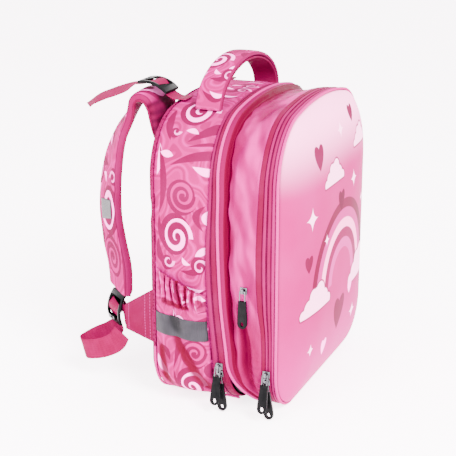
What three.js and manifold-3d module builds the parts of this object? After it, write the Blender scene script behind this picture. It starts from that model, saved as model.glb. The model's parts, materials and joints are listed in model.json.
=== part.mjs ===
// A child's ergonomic school backpack, standing on its base.
// Millimetres, +Z up. The moulded front faces -Y, the padded back faces +Y, and the left side is -X.
// The origin is the middle of the base, on the floor.

import * as THREE from 'three';
import Module from 'manifold-3d';
import { mergeVertices } from 'three/addons/utils/BufferGeometryUtils.js';

// Driving dimensions
const GAP = 0.3;
const DEGREE = Math.PI / 180;
const BODY = {
  width: 280,
  height: 350,
  lift: 2.4,
  bottomRadius: 50,
  bottomTurn: 88 * DEGREE,
  topRadius: 74,
  crownTurn: 11.75 * DEGREE,
  backY: 75,
  frontY: -75,
};
const CLOTH = 2.4;
const SATIN = 1.6;
const MIDDLE = { flange: 0.6 };
const BASE = { thickness: 4, edgeX: 91.2, frontY: -72, backY: 75 };
const TAPE = { rise: 1.1, under: -1.6, grooveHalf: 1.9, widest: 20 };
const COIL = { half: 1.5, foot: 0.6, low: 0.5, crown: 1.9 };
const PIPING = { radius: 1.5, sides: 6, rise: 0.8 };
const SHELL = { rimInset: 1.9, wall: 3, rearY: -73 };
const BACK = { edge: 3.5, pad: 7, channelHalf: 9, channelHeights: [122, 232], columns: 12, rows: 11 };
const HANDLE = { y: 29, width: 32, halfSpan: 86, rise: 46, pad: 5, lining: 2.4, steps: 18 };
const POCKET = { wall: 1.6, swell: 12.5, gathers: 8, gatherDepth: 1.6, columns: 16 };
const STRAP = { pad: 8, lining: 2.7, steps: 30 };
const WEB = { width: 25, thickness: 1.4 };
const LADDER = { length: 38, width: 33, thickness: 3.4, bow: 5, window: 12.5, windowHalfWidth: 13.25 };
const TAB = { length: 33, width: 11.5, thickness: 3, slot: 3.4, neck: 6 };
const PULL = { link: 14.4, linkWidth: 7.6, wire: 1.3, pivotRise: 4.6 };

const SLIDER = { depth: 1.6, width: 8.6, length: 8, middle: 0.2 };
const ARCH_LOOP = { low: -2.2, high: 3.4, reach: 1.75, rim: 0.75, width: 2.4 };

// Seam lines across the depth, by the run along the outline from the base to the crown.
// rearZip is the rear edge of the rear zipper, section the piping that edges the front section,
// and frontZip the rear edge of the front zipper.
const SEAMS = [
  { run: 0, rearZip: -4, section: -48, frontZip: -57 },
  { run: 20, rearZip: -3, section: -46, frontZip: -57 },
  { run: 36, rearZip: -1.5, section: -40, frontZip: -57 },
  { run: 50, rearZip: 0, section: -31, frontZip: -57 },
  { run: 62, rearZip: 1.5, section: -23.5, frontZip: -57 },
  { run: 76, rearZip: 2.5, section: -17.4, frontZip: -57.5 },
  { run: 100, rearZip: 4.7, section: -14, frontZip: -57.5 },
  { run: 128, rearZip: 7.4, section: -10.4, frontZip: -56 },
  { run: 150, rearZip: 9.2, section: -8, frontZip: -52.5 },
  { run: 174, rearZip: 10.8, section: -6.4, frontZip: -50.5 },
  { run: 214, rearZip: 11.6, section: -4.6, frontZip: -49.3 },
  { run: 250, rearZip: 9, section: -4, frontZip: -50.5 },
  { run: 280, rearZip: 7, section: -4.8, frontZip: -52 },
  { run: 320, rearZip: 5.4, section: -4.4, frontZip: -53.7 },
  { run: 395, rearZip: 6, section: -4.8, frontZip: -53 },
  { run: 477, rearZip: 6, section: -5, frontZip: -53 },
];

// Folds of the middle wall: how deep it is tucked beside the rear zipper, then the place across it,
// from 0 at the rear to 1 at the front, and the depth of the rear ridge, the valley and the front ridge.
const FOLDS = [
  { run: 0, tuck: 0.5, ridgeAt: 0.4, ridge: 0, valleyAt: 0.55, valley: 0, brow: 0.8, browDepth: 0 },
  { run: 36, tuck: 1, ridgeAt: 0.36, ridge: 1, valleyAt: 0.56, valley: 3, brow: 0.88, browDepth: 0 },
  { run: 62, tuck: 2, ridgeAt: 0.27, ridge: 1.5, valleyAt: 0.5, valley: 9, brow: 0.86, browDepth: 0 },
  { run: 84, tuck: 4, ridgeAt: 0.27, ridge: 2, valleyAt: 0.48, valley: 13, brow: 0.8, browDepth: 0.4 },
  { run: 112, tuck: 7, ridgeAt: 0.3, ridge: 3, valleyAt: 0.48, valley: 13, brow: 0.7, browDepth: 0.8 },
  { run: 140, tuck: 9, ridgeAt: 0.36, ridge: 4, valleyAt: 0.5, valley: 10, brow: 0.62, browDepth: 1.4 },
  { run: 164, tuck: 9, ridgeAt: 0.4, ridge: 2.4, valleyAt: 0.5, valley: 2, brow: 0.66, browDepth: 1.4 },
  { run: 190, tuck: 9.5, ridgeAt: 0.42, ridge: 2.4, valleyAt: 0.56, valley: 1.6, brow: 0.8, browDepth: 0.6 },
  { run: 230, tuck: 10.5, ridgeAt: 0.4, ridge: 5, valleyAt: 0.58, valley: 2.2, brow: 0.84, browDepth: 0 },
  { run: 262, tuck: 9.5, ridgeAt: 0.46, ridge: 3, valleyAt: 0.6, valley: 3.4, brow: 0.82, browDepth: 0.2 },
  { run: 300, tuck: 10, ridgeAt: 0.42, ridge: 4, valleyAt: 0.58, valley: 2.4, brow: 0.84, browDepth: 0.6 },
  { run: 345, tuck: 8, ridgeAt: 0.42, ridge: 4.2, valleyAt: 0.62, valley: 4, brow: 0.84, browDepth: 1.6 },
  { run: 395, tuck: 7, ridgeAt: 0.42, ridge: 4.6, valleyAt: 0.62, valley: 4.6, brow: 0.86, browDepth: 2 },
  { run: 477, tuck: 7, ridgeAt: 0.42, ridge: 5.4, valleyAt: 0.62, valley: 5.6, brow: 0.86, browDepth: 2.6 },
];

// Dome of the moulded front: the outline drawn in to this share, and the height there.
const DOME = [
  { share: 1, rise: 0 },
  { share: 1, rise: 4 },
  { share: 0.965, rise: 9.5 },
  { share: 0.88, rise: 16.5 },
  { share: 0.7, rise: 23 },
  { share: 0.4, rise: 27.2 },
];
const DOME_TOP = 28.6;

// Left shoulder strap: centre line, width, and the turn of its face towards the side.
const STRAP_ROWS = [
  { x: -60, y: 93.8, z: 297, width: 56, turn: 0 },
  { x: -60, y: 98.2, z: 309, width: 57, turn: 0 },
  { x: -60, y: 101.4, z: 322, width: 58, turn: 0 },
  { x: -60, y: 104.6, z: 335, width: 59, turn: 0 },
  { x: -60, y: 110.5, z: 343.5, width: 60, turn: 0 },
  { x: -60, y: 119.5, z: 345.4, width: 60, turn: 0 },
  { x: -60.5, y: 127.5, z: 341.5, width: 60, turn: 1 },
  { x: -61, y: 133, z: 331.5, width: 60, turn: 4 },
  { x: -63, y: 140, z: 316, width: 60, turn: 10 },
  { x: -66, y: 150, z: 298, width: 60, turn: 19 },
  { x: -72, y: 160.5, z: 259, width: 59, turn: 33 },
  { x: -78, y: 162, z: 223, width: 57, turn: 39 },
  { x: -82, y: 159.8, z: 200, width: 55, turn: 41 },
  { x: -88, y: 152.6, z: 171, width: 50, turn: 46 },
  { x: -96, y: 142, z: 140, width: 42, turn: 50 },
];
const STRAP_END = { width: 35, aboveBuckle: 5, liningDrop: 10 };
const REFLECTOR = { from: 0.73, to: 0.81 };

// Ladder-lock buckles on the left: centre, length direction and width direction.
// The right strap hangs lower and closer to the back than the left one, and its arch sags by row.
const UPPER_BUCKLE = { at: [-62, 105, 359.5], length: [0, 0.963, 0.27], width: [1, 0, 0] };
const RIGHT_DROP = 22;
const RIGHT_TUCK = 9;
const RIGHT_SAG = [12, 14, 18, 25, 31, 32, 32, 31, 29, 26, 19, 13, 9, 6, 3];
const RIGHT_BUCKLE = { at: [-62, 110, 310], length: [0, 0.9, -0.436], width: [1, 0, 0] };
const LOWER_BUCKLE = {
  at: [-107.7, 143.6, 92.7],
  length: [-0.145, 0.114, -0.983],
  width: [0.617, 0.787, 0],
};

// Webbing through a buckle: place along the buckle and height off its base plane.
const THREAD_OVER = [
  { along: -22, height: -5.6 },
  { along: -19, height: -4.8 },
  { along: -13, height: -2.2 },
  { along: -7, height: 1.2 },
  { along: -2.5, height: 3.9 },
  { along: 0, height: 4.4 },
  { along: 2.5, height: 3.9 },
  { along: 7, height: 1.2 },
  { along: 13, height: -2.2 },
  { along: 19, height: -4.8 },
  { along: 24, height: -7 },
];
const THREAD_BACK = [
  { along: 5, height: -9 },
  { along: -6, height: -6.2 },
  { along: -10, height: -4.6 },
  { along: -11.4, height: -2.6 },
  { along: -10, height: -0.6 },
  { along: -6, height: 1.6 },
];

const LIFTER_SEWN = [64, 71, 80.5];

// Free stretches of webbing on the left: centre line and the direction across the web.
const LIFTER_TAIL = [
  { at: [-62, 141, 355], across: [1, 0, 0] },
  { at: [-62, 168, 342.5], across: [1, 0, 0] },
  { at: [-62, 202, 327], across: [1, 0, 0] },
];
const RIGHT_SLACK = [
  { at: [-62, 85.6, 341], across: [1, 0, 0] },
  { at: [-62, 88.6, 332], across: [1, 0, 0] },
  { at: [-62, 88.6, 322], across: [1, 0, 0] },
];
const RIGHT_TAIL = [
  { at: [-62, 138.5, 289.5], across: [1, 0, 0] },
  { at: [-62, 148, 279], across: [1, 0, 0] },
  { at: [-62, 156, 265], across: [1, 0, 0] },
  { at: [-62, 161.5, 248], across: [1, 0, 0] },
];
const WING_WEB = [
  { at: [-118.6, 119, 87], across: [0, 0.05, 1] },
  { at: [-116.4, 127, 87.5], across: [0.1, 0.2, 1] },
  { at: [-109, 133.5, 88], across: [0.45, 0.5, 0.75] },
];
const TAIL_LOOP = [
  { at: [-104.2, 149.5, 62], across: [0.5, 0.68, 0.5] },
  { at: [-101, 158, 55], across: [0.15, 0.4, 0.9] },
  { at: [-100, 171, 48], across: [0, 0.3, 0.95] },
  { at: [-104, 183, 41], across: [0, 0.28, 0.96] },
  { at: [-114, 187.5, 38], across: [0, 0.28, 0.96] },
  { at: [-123, 181, 37.5], across: [0, 0.28, 0.96] },
  { at: [-126, 168, 40], across: [0, 0.28, 0.96] },
  { at: [-126, 150, 46], across: [0, 0.34, 0.94] },
  { at: [-124, 136, 55], across: [0.1, 0.6, 0.8] },
  { at: [-122.5, 129.5, 66], across: [0.25, 0.85, 0.45] },
];

// Cloth triangle that holds the lower web: seam edge and outer edge, lower and upper corner of each.
const WING = {
  seam: { x: -131, y: 83.3, low: 66, high: 131 },
  outer: { x: -119.5, y: 125, low: 72, high: 103 },
  half: 1.3,
};

// Zipper pulls: the run and depth of the slider, the height of what it sits on, how far the tab leans
// along the side, and how far it stands off the side.
const PULLS = [
  { name: 'rear_pull', run: 79, y: -6.7, seat: 1.9, lean: 0, off: 14 },
  { name: 'rear_second_pull', run: 70.5, y: -7.4, seat: 1.9, lean: -7, off: 0 },
  { name: 'front_pull', run: 79, y: -64.9, seat: 1.9, lean: 0, off: 14 },
  { name: 'front_second_pull', run: 70.5, y: -64.9, seat: 1.9, lean: -7, off: 0 },
  { name: 'side_pull', run: 174.5, y: -35.5, seat: -1, lean: 0, off: 0 },
];

// Colours and finishes
const COLOUR = {
  print: 0xf783b6,
  hotPink: 0xee3d8a,
  satin: 0xf58abb,
  piping: 0xfbb3d3,
  shell: 0xf7a9cd,
  mesh: 0xe2508f,
  base: 0x2b292d,
  grey: 0x9a9ea3,
  plastic: 0x17171a,
  silver: 0xc9c9cc,
};
const material = (color, roughness, metalness = 0) =>
  new THREE.MeshStandardMaterial({ color, roughness, metalness });
const PRINT = material(COLOUR.print, 0.6);
const HOT_PINK = material(COLOUR.hotPink, 0.65);
const SATIN_PINK = material(COLOUR.satin, 0.4);
const PALE_CORD = material(COLOUR.piping, 0.4);
const MOULDED = material(COLOUR.shell, 0.3);
const MESH = material(COLOUR.mesh, 0.85);
const DARK_CLOTH = material(COLOUR.base, 0.85);
const REFLECTIVE = material(COLOUR.grey, 0.35);
const PLASTIC = material(COLOUR.plastic, 0.35);
const SILVER = material(COLOUR.silver, 0.25, 1);

const wasm = await Module();
wasm.setup();

const backpack = new THREE.Group();

function add(name, geometry, finish) {
  const mesh = new THREE.Mesh(geometry, finish);
  mesh.name = name;
  backpack.add(mesh);
}

// Mirror image of a left piece, for the right.
function mirrored(geometry) {
  const copy = geometry.clone();
  copy.scale(-1, 1, 1);
  const index = copy.getIndex();
  for (let i = 0; i < index.count; i += 3) {
    const second = index.getX(i + 1);
    index.setX(i + 1, index.getX(i + 2));
    index.setX(i + 2, second);
  }
  return copy;
}

// Adds a piece on the left and its mirror image on the right, lower there by the drop.
function addPair(name, geometry, finish, drop = 0) {
  add(`${name}_left`, geometry, finish);
  add(`${name}_right`, mirrored(geometry).translate(0, 0, -drop), finish);
}

const lerp = THREE.MathUtils.lerp;
const vector = (triple) => new THREE.Vector3(...triple);

// Value of one column of a table at a key, on straight lines between its rows.
function column(rows, key, value, name) {
  const next = rows.findIndex((row) => row[key] >= value);
  if (next <= 0) {
    return rows[next === 0 ? 0 : rows.length - 1][name];
  }
  const before = rows[next - 1];
  const after = rows[next];
  return lerp(before[name], after[name], (value - before[key]) / (after[key] - before[key]));
}

// Closed mesh from points and triangles, turned so that its faces point out.
function closedMesh(points, triangles) {
  let volume = 0;
  for (const [a, b, c] of triangles) {
    volume += points[a].dot(new THREE.Vector3().crossVectors(points[b], points[c]));
  }
  const facing = volume > 0 ? triangles : triangles.map(([a, b, c]) => [a, c, b]);
  const geometry = new THREE.BufferGeometry().setFromPoints(points);
  geometry.setIndex(facing.flat());
  geometry.computeVertexNormals();
  return geometry;
}

// Normal of a closed loop of points.
function loopNormal(loop) {
  const normal = new THREE.Vector3();
  loop.forEach((point, i) => {
    const after = loop[(i + 1) % loop.length];
    normal.add(new THREE.Vector3().crossVectors(point, after));
  });
  return normal.normalize();
}

// Triangles that fill a flat loop, with their normal along or against the loop's own.
function fillLoop(loop, sense) {
  const normal = loopNormal(loop);
  const across = new THREE.Vector3().subVectors(loop[1], loop[0]).normalize();
  const upward = new THREE.Vector3().crossVectors(normal, across);
  const flat = loop.map((point) => new THREE.Vector2(point.dot(across), point.dot(upward)));
  return THREE.ShapeUtils.triangulateShape(flat, []).map(([a, b, c]) => {
    const edge = new THREE.Vector2().subVectors(flat[b], flat[a]);
    const turn = edge.cross(new THREE.Vector2().subVectors(flat[c], flat[a]));
    return turn * sense > 0 ? [a, b, c] : [a, c, b];
  });
}

// Triangles between the two halves of a folded loop, whose point j faces point count - 1 - j.
function fillStrip(count, sense) {
  const triangles = [];
  for (let j = 0; j < count / 2 - 1; j += 1) {
    const quad = [j, j + 1, count - 2 - j, count - 1 - j];
    const pair = [[quad[0], quad[1], quad[2]], [quad[0], quad[2], quad[3]]];
    pair.forEach(([a, b, c]) => triangles.push(sense > 0 ? [a, b, c] : [a, c, b]));
  }
  return triangles;
}

// Solid through a row of loops with equal point counts: open with two end faces, or closed on itself.
function loft(loops, { closed = false, strip = false } = {}) {
  const count = loops[0].length;
  const triangles = [];
  const steps = closed ? loops.length : loops.length - 1;
  for (let i = 0; i < steps; i += 1) {
    const here = i * count;
    const there = ((i + 1) % loops.length) * count;
    for (let j = 0; j < count; j += 1) {
      const k = (j + 1) % count;
      triangles.push([here + j, here + k, there + k], [here + j, there + k, there + j]);
    }
  }
  if (!closed) {
    const last = loops.length - 1;
    const ends = [[0, -1], [last, 1]];
    for (const [end, sense] of ends) {
      const fill = strip ? fillStrip(count, sense) : fillLoop(loops[end], sense);
      fill.forEach((triangle) => triangles.push(triangle.map((corner) => corner + end * count)));
    }
  }
  return closedMesh(loops.flat(), triangles);
}

// Wall between two equal grids of points, such as the outside and the inside of a cloth.
function wall(outer, inner) {
  return loft(outer.map((row, i) => [...row, ...[...inner[i]].reverse()]), { strip: true });
}

// Outline of the body seen from the front
const sideX = BODY.width / 2;
const bottomCentre = { x: sideX - BODY.bottomRadius, z: BODY.lift + BODY.bottomRadius };
const cornerTurn = Math.PI / 2 - BODY.crownTurn;
const crownRadius = BODY.topRadius + (sideX - BODY.topRadius) / Math.sin(BODY.crownTurn);
const crownCentreZ = BODY.height - crownRadius;
const topCentre = {
  x: sideX - BODY.topRadius,
  z: crownCentreZ + (crownRadius - BODY.topRadius) * Math.cos(BODY.crownTurn),
};
const bottomRun = BODY.bottomRadius * BODY.bottomTurn;
const sideRun = bottomRun + topCentre.z - bottomCentre.z;
const cornerRun = sideRun + BODY.topRadius * cornerTurn;
const halfRun = cornerRun + crownRadius * BODY.crownTurn;
const fullRun = 2 * halfRun;

// Point and outward normal of the outline at a run from the left base seam over the top to the right one.
function outlineAt(run) {
  const half = Math.min(run, fullRun - run);
  let centre = { x: bottomCentre.x, z: bottomCentre.z };
  let radius = BODY.bottomRadius;
  let lift = Math.min(0, half / BODY.bottomRadius - BODY.bottomTurn);
  if (half > cornerRun) {
    centre = { x: 0, z: crownCentreZ };
    radius = crownRadius;
    lift = cornerTurn + (half - cornerRun) / crownRadius;
  } else if (half > sideRun) {
    centre = topCentre;
    radius = BODY.topRadius;
    lift = (half - sideRun) / BODY.topRadius;
  } else if (half > bottomRun) {
    centre = { x: bottomCentre.x, z: bottomCentre.z + half - bottomRun };
    lift = 0;
  }
  const side = run > halfRun ? 1 : -1;
  const nx = side * Math.cos(lift);
  const nz = Math.sin(lift);
  return { run, x: side * centre.x + nx * radius, z: centre.z + nz * radius, nx, nz };
}

const spread = (from, to, steps) => Array.from({ length: steps }, (_, i) => lerp(from, to, i / steps));

// Runs up the left half, over the crown and down the right half.
function archRuns(bottomSteps, sideSteps, cornerSteps, crownSteps) {
  const left = [
    ...spread(0, bottomRun, bottomSteps),
    ...spread(bottomRun, sideRun, sideSteps),
    ...spread(sideRun, cornerRun, cornerSteps),
    ...spread(cornerRun, halfRun, crownSteps),
  ];
  return [...left, halfRun, ...[...left].reverse().map((run) => fullRun - run)];
}

const ARCH = archRuns(4, 7, 5, 2).map(outlineAt);
const FLOOR_CORNERS = [bottomCentre.x, -bottomCentre.x].map((x) => (
  { run: 0, x, z: BODY.lift, nx: 0, nz: -1 }));
const LOOP = [...ARCH, ...FLOOR_CORNERS];

const place = (station, y, d) => (
  new THREE.Vector3(station.x + station.nx * d, y, station.z + station.nz * d)
);
const seam = (run, name) => column(SEAMS, 'run', Math.min(run, fullRun - run), name);
const fold = (run, name) => column(FOLDS, 'run', Math.min(run, fullRun - run), name);

// Band along the outline whose cross-section, given as depth y and height d, changes with the run.
function band(stations, profile, options) {
  const loops = stations.map((station) => profile(station.run).map(([y, d]) => place(station, y, d)));
  return loft(loops, options);
}

// Round cord section with its centre at depth y and height d.
function cordSection(y, d, radius = PIPING.radius) {
  return Array.from({ length: PIPING.sides }, (_, i) => {
    const angle = (2 * Math.PI * i) / PIPING.sides;
    return [y + radius * Math.cos(angle), d + radius * Math.sin(angle)];
  });
}

// Base
function basePanel() {
  const { thickness, edgeX, frontY, backY } = BASE;
  const shape = new THREE.BoxGeometry(2 * edgeX, backY - frontY, thickness);
  shape.translate(0, (backY + frontY) / 2, thickness / 2);
  return shape;
}

// Dark cloth in the notch between the rear section and the front section, at a bottom corner.
function baseCorner() {
  const topRun = 60;
  const sunk = 3;
  const stations = [...spread(0, topRun, 4), topRun].map(outlineAt);
  return band(stations, (run) => {
    const rear = rearTape(run).front - GAP;
    const front = seam(run, 'section') + PIPING.radius + GAP;
    return [[rear, -sunk], [front, -sunk], [front, -sunk - SATIN], [rear, -sunk - SATIN]];
  });
}

// Padded back: a crowned pad with one upright and two level sewn channels, flat towards the inside.
function backPanel() {
  const half = sideX - 1;
  const shares = Array.from({ length: BACK.columns + 1 }, (_, i) => i / BACK.columns - 0.5);
  const xs = shares.map((share) => half * Math.sin(share * Math.PI));
  const bottom = (x) => heightBelow(Math.abs(x));
  const top = (x) => heightAbove(Math.abs(x)) - 1;
  const pad = xs.map((x) => Array.from({ length: BACK.rows + 1 }, (_, j) => {
    const z = lerp(bottom(x), top(x), j / BACK.rows);
    return new THREE.Vector3(x, BODY.backY + GAP + padThickness(x, z, bottom(x), top(x)), z);
  }));
  const pressed = (point) => new THREE.Vector3(point.x, BODY.backY + GAP, point.z);
  const flat = pad.map((line) => line.map(pressed));
  return wall(pad, flat);
}

// Thickness of the back pad: an edge, a crown that fades to it, and channels pressed in.
function padThickness(x, z, bottom, top) {
  const fromEdge = Math.min(sideX - Math.abs(x), z - bottom, top - z);
  const crown = Math.sqrt(THREE.MathUtils.clamp(fromEdge / 30, 0, 1));
  const lines = [Math.abs(x), ...BACK.channelHeights.map((height) => Math.abs(z - height))];
  const channel = Math.min(...lines) < BACK.channelHalf ? 0.45 : 1;
  return BACK.edge + BACK.pad * crown * channel;
}

// Height of the outline above and below, at a distance from the middle plane.
function heightAbove(x) {
  const edge = topCentre.x + BODY.topRadius * Math.sin(BODY.crownTurn);
  if (x < edge) {
    return crownCentreZ + Math.sqrt(crownRadius ** 2 - x ** 2);
  }
  return topCentre.z + Math.sqrt(Math.max(0, BODY.topRadius ** 2 - (x - topCentre.x) ** 2));
}

function heightBelow(x) {
  const past = Math.max(0, x - bottomCentre.x);
  return bottomCentre.z - Math.sqrt(Math.max(0, BODY.bottomRadius ** 2 - past ** 2));
}

// Rear section wall
const rearWall = (run) => {
  const front = seam(run, 'rearZip') + GAP;
  const back = BODY.backY - GAP;
  return [[back, 0], [(back + front) / 2, 0], [front, 0], [front, -CLOTH], [back, -CLOTH]];
};

// Zipper tapes, coils and pipings
const rearTape = (run) => {
  const rear = seam(run, 'rearZip');
  const front = Math.max(seam(run, 'section') + PIPING.radius + GAP, rear - TAPE.widest);
  return { rear, front };
};
const frontTape = (run) => ({ rear: seam(run, 'frontZip') - GAP, front: SHELL.rearY + GAP });

function tapeSection({ rear, front }) {
  const middle = (rear + front) / 2;
  const { rise, under, grooveHalf } = TAPE;
  const bed = COIL.low - GAP;
  const bedEdges = [[middle + grooveHalf, bed], [middle - grooveHalf, bed]];
  return [[rear, rise], ...bedEdges, [front, rise], [front, under], [rear, under]];
}

function coilSection({ rear, front }) {
  const middle = (rear + front) / 2;
  const { half, foot, low, crown } = COIL;
  return [[middle + half, low], [middle + foot, crown], [middle - foot, crown], [middle - half, low]];
}

// Middle wall: a flange beside the piping, a deep tuck under it, and a swelling cloth with folds.
function middleWall(run) {
  const rear = seam(run, 'section') - PIPING.radius - GAP;
  const front = seam(run, 'frontZip');
  const at = (share) => lerp(rear, front, share);
  const tuck = fold(run, 'tuck');
  const outside = [
    [at(0), MIDDLE.flange],
    [at(0.12), MIDDLE.flange],
    [at(0.19), -tuck],
    [at(fold(run, 'ridgeAt')), -fold(run, 'ridge')],
    [at(fold(run, 'valleyAt')), -fold(run, 'valley')],
    [at(fold(run, 'brow')), -fold(run, 'browDepth')],
    [at(1), 0],
  ];
  return [...outside, ...insetLine(outside, SATIN).reverse()];
}

// Line moved inwards by a wall thickness, along the mean normal of the two edges at each point.
function insetLine(points, distance) {
  return points.map(([y, d], i) => {
    const before = points[Math.max(0, i - 1)];
    const after = points[Math.min(points.length - 1, i + 1)];
    const length = Math.hypot(after[0] - before[0], after[1] - before[1]);
    const atEnd = i === 0 || i === points.length - 1;
    const shift = atEnd ? 0 : (distance * (after[1] - before[1])) / length;
    const drop = atEnd ? distance : (distance * (before[0] - after[0])) / length;
    return [y - shift, d - drop];
  });
}

// Moulded front: a dome with a rim, hollow behind, from shrunken copies of the outline.
function frontShell() {
  const middleZ = (BODY.height + BODY.lift) / 2;
  const skin = (inset) => (row) => LOOP.map((station) => {
    const edge = place(station, 0, -SHELL.rimInset - inset);
    const y = SHELL.rearY - Math.max(0, row.rise - (row.rise > 0 ? inset : 0));
    return new THREE.Vector3(edge.x * row.share, y, middleZ + (edge.z - middleZ) * row.share);
  });
  const rings = [...DOME.map(skin(0)), ...[...DOME].reverse().map(skin(SHELL.wall))];
  const count = LOOP.length;
  const points = rings.flat();
  const triangles = [];
  for (let i = 0; i < rings.length; i += 1) {
    const tops = i === DOME.length - 1;
    const here = i * count;
    const there = ((i + 1) % rings.length) * count;
    for (let j = 0; j < count && !tops; j += 1) {
      const k = (j + 1) % count;
      triangles.push([here + j, here + k, there + k], [here + j, there + k, there + j]);
    }
  }
  const outerTop = points.push(new THREE.Vector3(0, SHELL.rearY - DOME_TOP, middleZ)) - 1;
  const innerTop = points.push(new THREE.Vector3(0, SHELL.rearY - DOME_TOP + SHELL.wall, middleZ)) - 1;
  const outerRing = (DOME.length - 1) * count;
  const innerRing = DOME.length * count;
  for (let j = 0; j < count; j += 1) {
    const k = (j + 1) % count;
    triangles.push([outerRing + j, outerRing + k, outerTop], [innerRing + k, innerRing + j, innerTop]);
  }
  return closedMesh(points, triangles);
}

// Piping along the lower edge of a side, from the back seam round the corner and under the rear zipper.
function basePiping() {
  const route = [
    { run: 92, y: 75, d: 2.3 },
    { run: 72, y: 75, d: 2.3 },
    { run: 54, y: 75, d: 2.3 },
    { run: 38, y: 75, d: 2.3 },
    { run: 26, y: 74.6, d: 2.3 },
    { run: 18, y: 71, d: 2.3 },
    { run: 15.5, y: 62, d: 2.1 },
    { run: 15.5, y: 16, d: 2.1 },
    { run: 15.5, y: 3, d: 3.3 },
    { run: 15.5, y: -10, d: 3.3 },
    { run: 19, y: -18, d: 3.3 },
    { run: 26, y: -21, d: 3.3 },
  ];
  const points = route.map(({ run, y, d }) => place(outlineAt(run), y, d));
  return roundCord(points, PIPING.radius);
}

// Cord of round section along points, each section square to the way on.
function roundCord(points, radius) {
  const loops = points.map((point, i) => {
    const before = points[Math.max(0, i - 1)];
    const after = points[Math.min(points.length - 1, i + 1)];
    const forward = new THREE.Vector3().subVectors(after, before).normalize();
    const side = new THREE.Vector3(-1, 0, 1).addScaledVector(forward, forward.x - forward.z).normalize();
    const up = new THREE.Vector3().crossVectors(forward, side);
    return cordSection(0, 0, radius).map(([a, b]) => point.clone()
      .addScaledVector(side, a)
      .addScaledVector(up, b));
  });
  return loft(loops);
}

// Handle: an arch of padded cloth over the top, its ends cut to the top of the bag.
function handleStrip(low, high, halfWidth) {
  const { y, halfSpan, rise, steps } = HANDLE;
  const foot = heightAbove(halfSpan) + GAP;
  const arch = (turn) => {
    const level = Math.max(0, Math.cos(turn));
    return new THREE.Vector3(halfSpan * Math.sin(turn), y, foot + rise * level ** 1.1);
  };
  const loops = Array.from({ length: steps + 1 }, (_, i) => {
    const turn = (i / steps - 0.5) * Math.PI;
    const point = arch(turn);
    const forward = new THREE.Vector3().subVectors(arch(turn + 0.02), arch(turn - 0.02));
    const out = new THREE.Vector3(-forward.z, 0, forward.x).normalize();
    const ends = i === 0 || i === steps;
    const crown = [[-halfWidth, high], [0, high + 1], [halfWidth, high]];
    const corners = [[-halfWidth, low], ...crown, [halfWidth, low]];
    return corners.map(([across, off]) => {
      const corner = point.clone().addScaledVector(out, off);
      corner.y += across;
      const ground = heightAbove(Math.abs(corner.x)) + 2 * GAP;
      corner.z = ends ? ground : Math.max(corner.z, ground);
      return corner;
    });
  });
  return loft(loops);
}

// Side pocket: cloth that swells off the side, sewn at three edges, with a gathered sloping mouth.
// Its rows run from the bottom seam to the mouth, each by its run at the back and at the front edge.
const POCKET_ROWS = [
  { back: 25, front: 25, swell: 0, gather: 0 },
  { back: 35, front: 35, swell: 0.42, gather: 0 },
  { back: 47, front: 46, swell: 0.74, gather: 0 },
  { back: 62, front: 60, swell: 0.92, gather: 0 },
  { back: 84, front: 80, swell: 1, gather: 0 },
  { back: 113, front: 108, swell: 1, gather: 0 },
  { back: 137, front: 132, swell: 0.9, gather: 0.1 },
  { back: 158, front: 145, swell: 0.72, gather: 0.7 },
  { back: 172, front: 152, swell: 0.58, gather: 1 },
  { back: 188, front: 162, swell: 0.56, gather: 0.8 },
];
const BAND_ROWS = [5, 6];
const CREASE = { depth: 3.2, half: 0.09, topAcross: 0.42, bottomAcross: 0.8, bottomRun: 30, topRun: 100 };

function pocketPoint(across, row, lift) {
  const run = lerp(row.back, row.front, across);
  const y = lerp(BODY.backY - 2.4, seam(run, 'rearZip') + 1, across);
  const bow = Math.sin(Math.PI * across) ** 0.45;
  const gather = POCKET.gatherDepth * row.gather * Math.cos(2 * Math.PI * POCKET.gathers * across) * bow;
  const climb = THREE.MathUtils.clamp((run - CREASE.bottomRun) / (CREASE.topRun - CREASE.bottomRun), 0, 1);
  const creaseAt = lerp(CREASE.bottomAcross, CREASE.topAcross, climb);
  const crease = CREASE.depth * (1 - climb) * Math.exp(-(((across - creaseAt) / CREASE.half) ** 2));
  const swell = (POCKET.swell - crease) * row.swell * bow;
  return place(outlineAt(run), y, 2 * GAP + Math.max(0, swell + gather) + lift);
}

function pocketGrid(rows, lift) {
  const shares = Array.from({ length: POCKET.columns + 1 }, (_, i) => i / POCKET.columns);
  return rows.map((row) => shares.map((across) => pocketPoint(across, row, lift)));
}

const pocket = () => wall(pocketGrid(POCKET_ROWS, POCKET.wall), pocketGrid(POCKET_ROWS, 0));

function pocketBand() {
  const rows = BAND_ROWS.map((i) => POCKET_ROWS[i]);
  const lift = POCKET.wall + GAP;
  return wall(pocketGrid(rows, lift + 0.6), pocketGrid(rows, lift));
}

// Buckle frame: its centre, length, width and outward directions.
function buckleFrame({ at, length, width }) {
  const along = vector(length).normalize();
  const across = vector(width).normalize();
  const out = new THREE.Vector3().crossVectors(across, along).normalize();
  return { at: vector(at), along, across, out };
}
const UPPER = buckleFrame(UPPER_BUCKLE);
const UPPER_RIGHT = buckleFrame(RIGHT_BUCKLE);
const LOWER = buckleFrame(LOWER_BUCKLE);

const inBuckle = (frame, along, height) => frame.at.clone()
  .addScaledVector(frame.along, along)
  .addScaledVector(frame.out, height);

function manifold(geometry) {
  const bare = geometry.clone();
  bare.deleteAttribute('normal');
  bare.deleteAttribute('uv');
  const merged = mergeVertices(bare, 1e-4);
  const vertProperties = new Float32Array(merged.attributes.position.array);
  const triVerts = new Uint32Array(merged.getIndex().array);
  return new wasm.Manifold(new wasm.Mesh({ numProp: 3, vertProperties, triVerts }));
}

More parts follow.
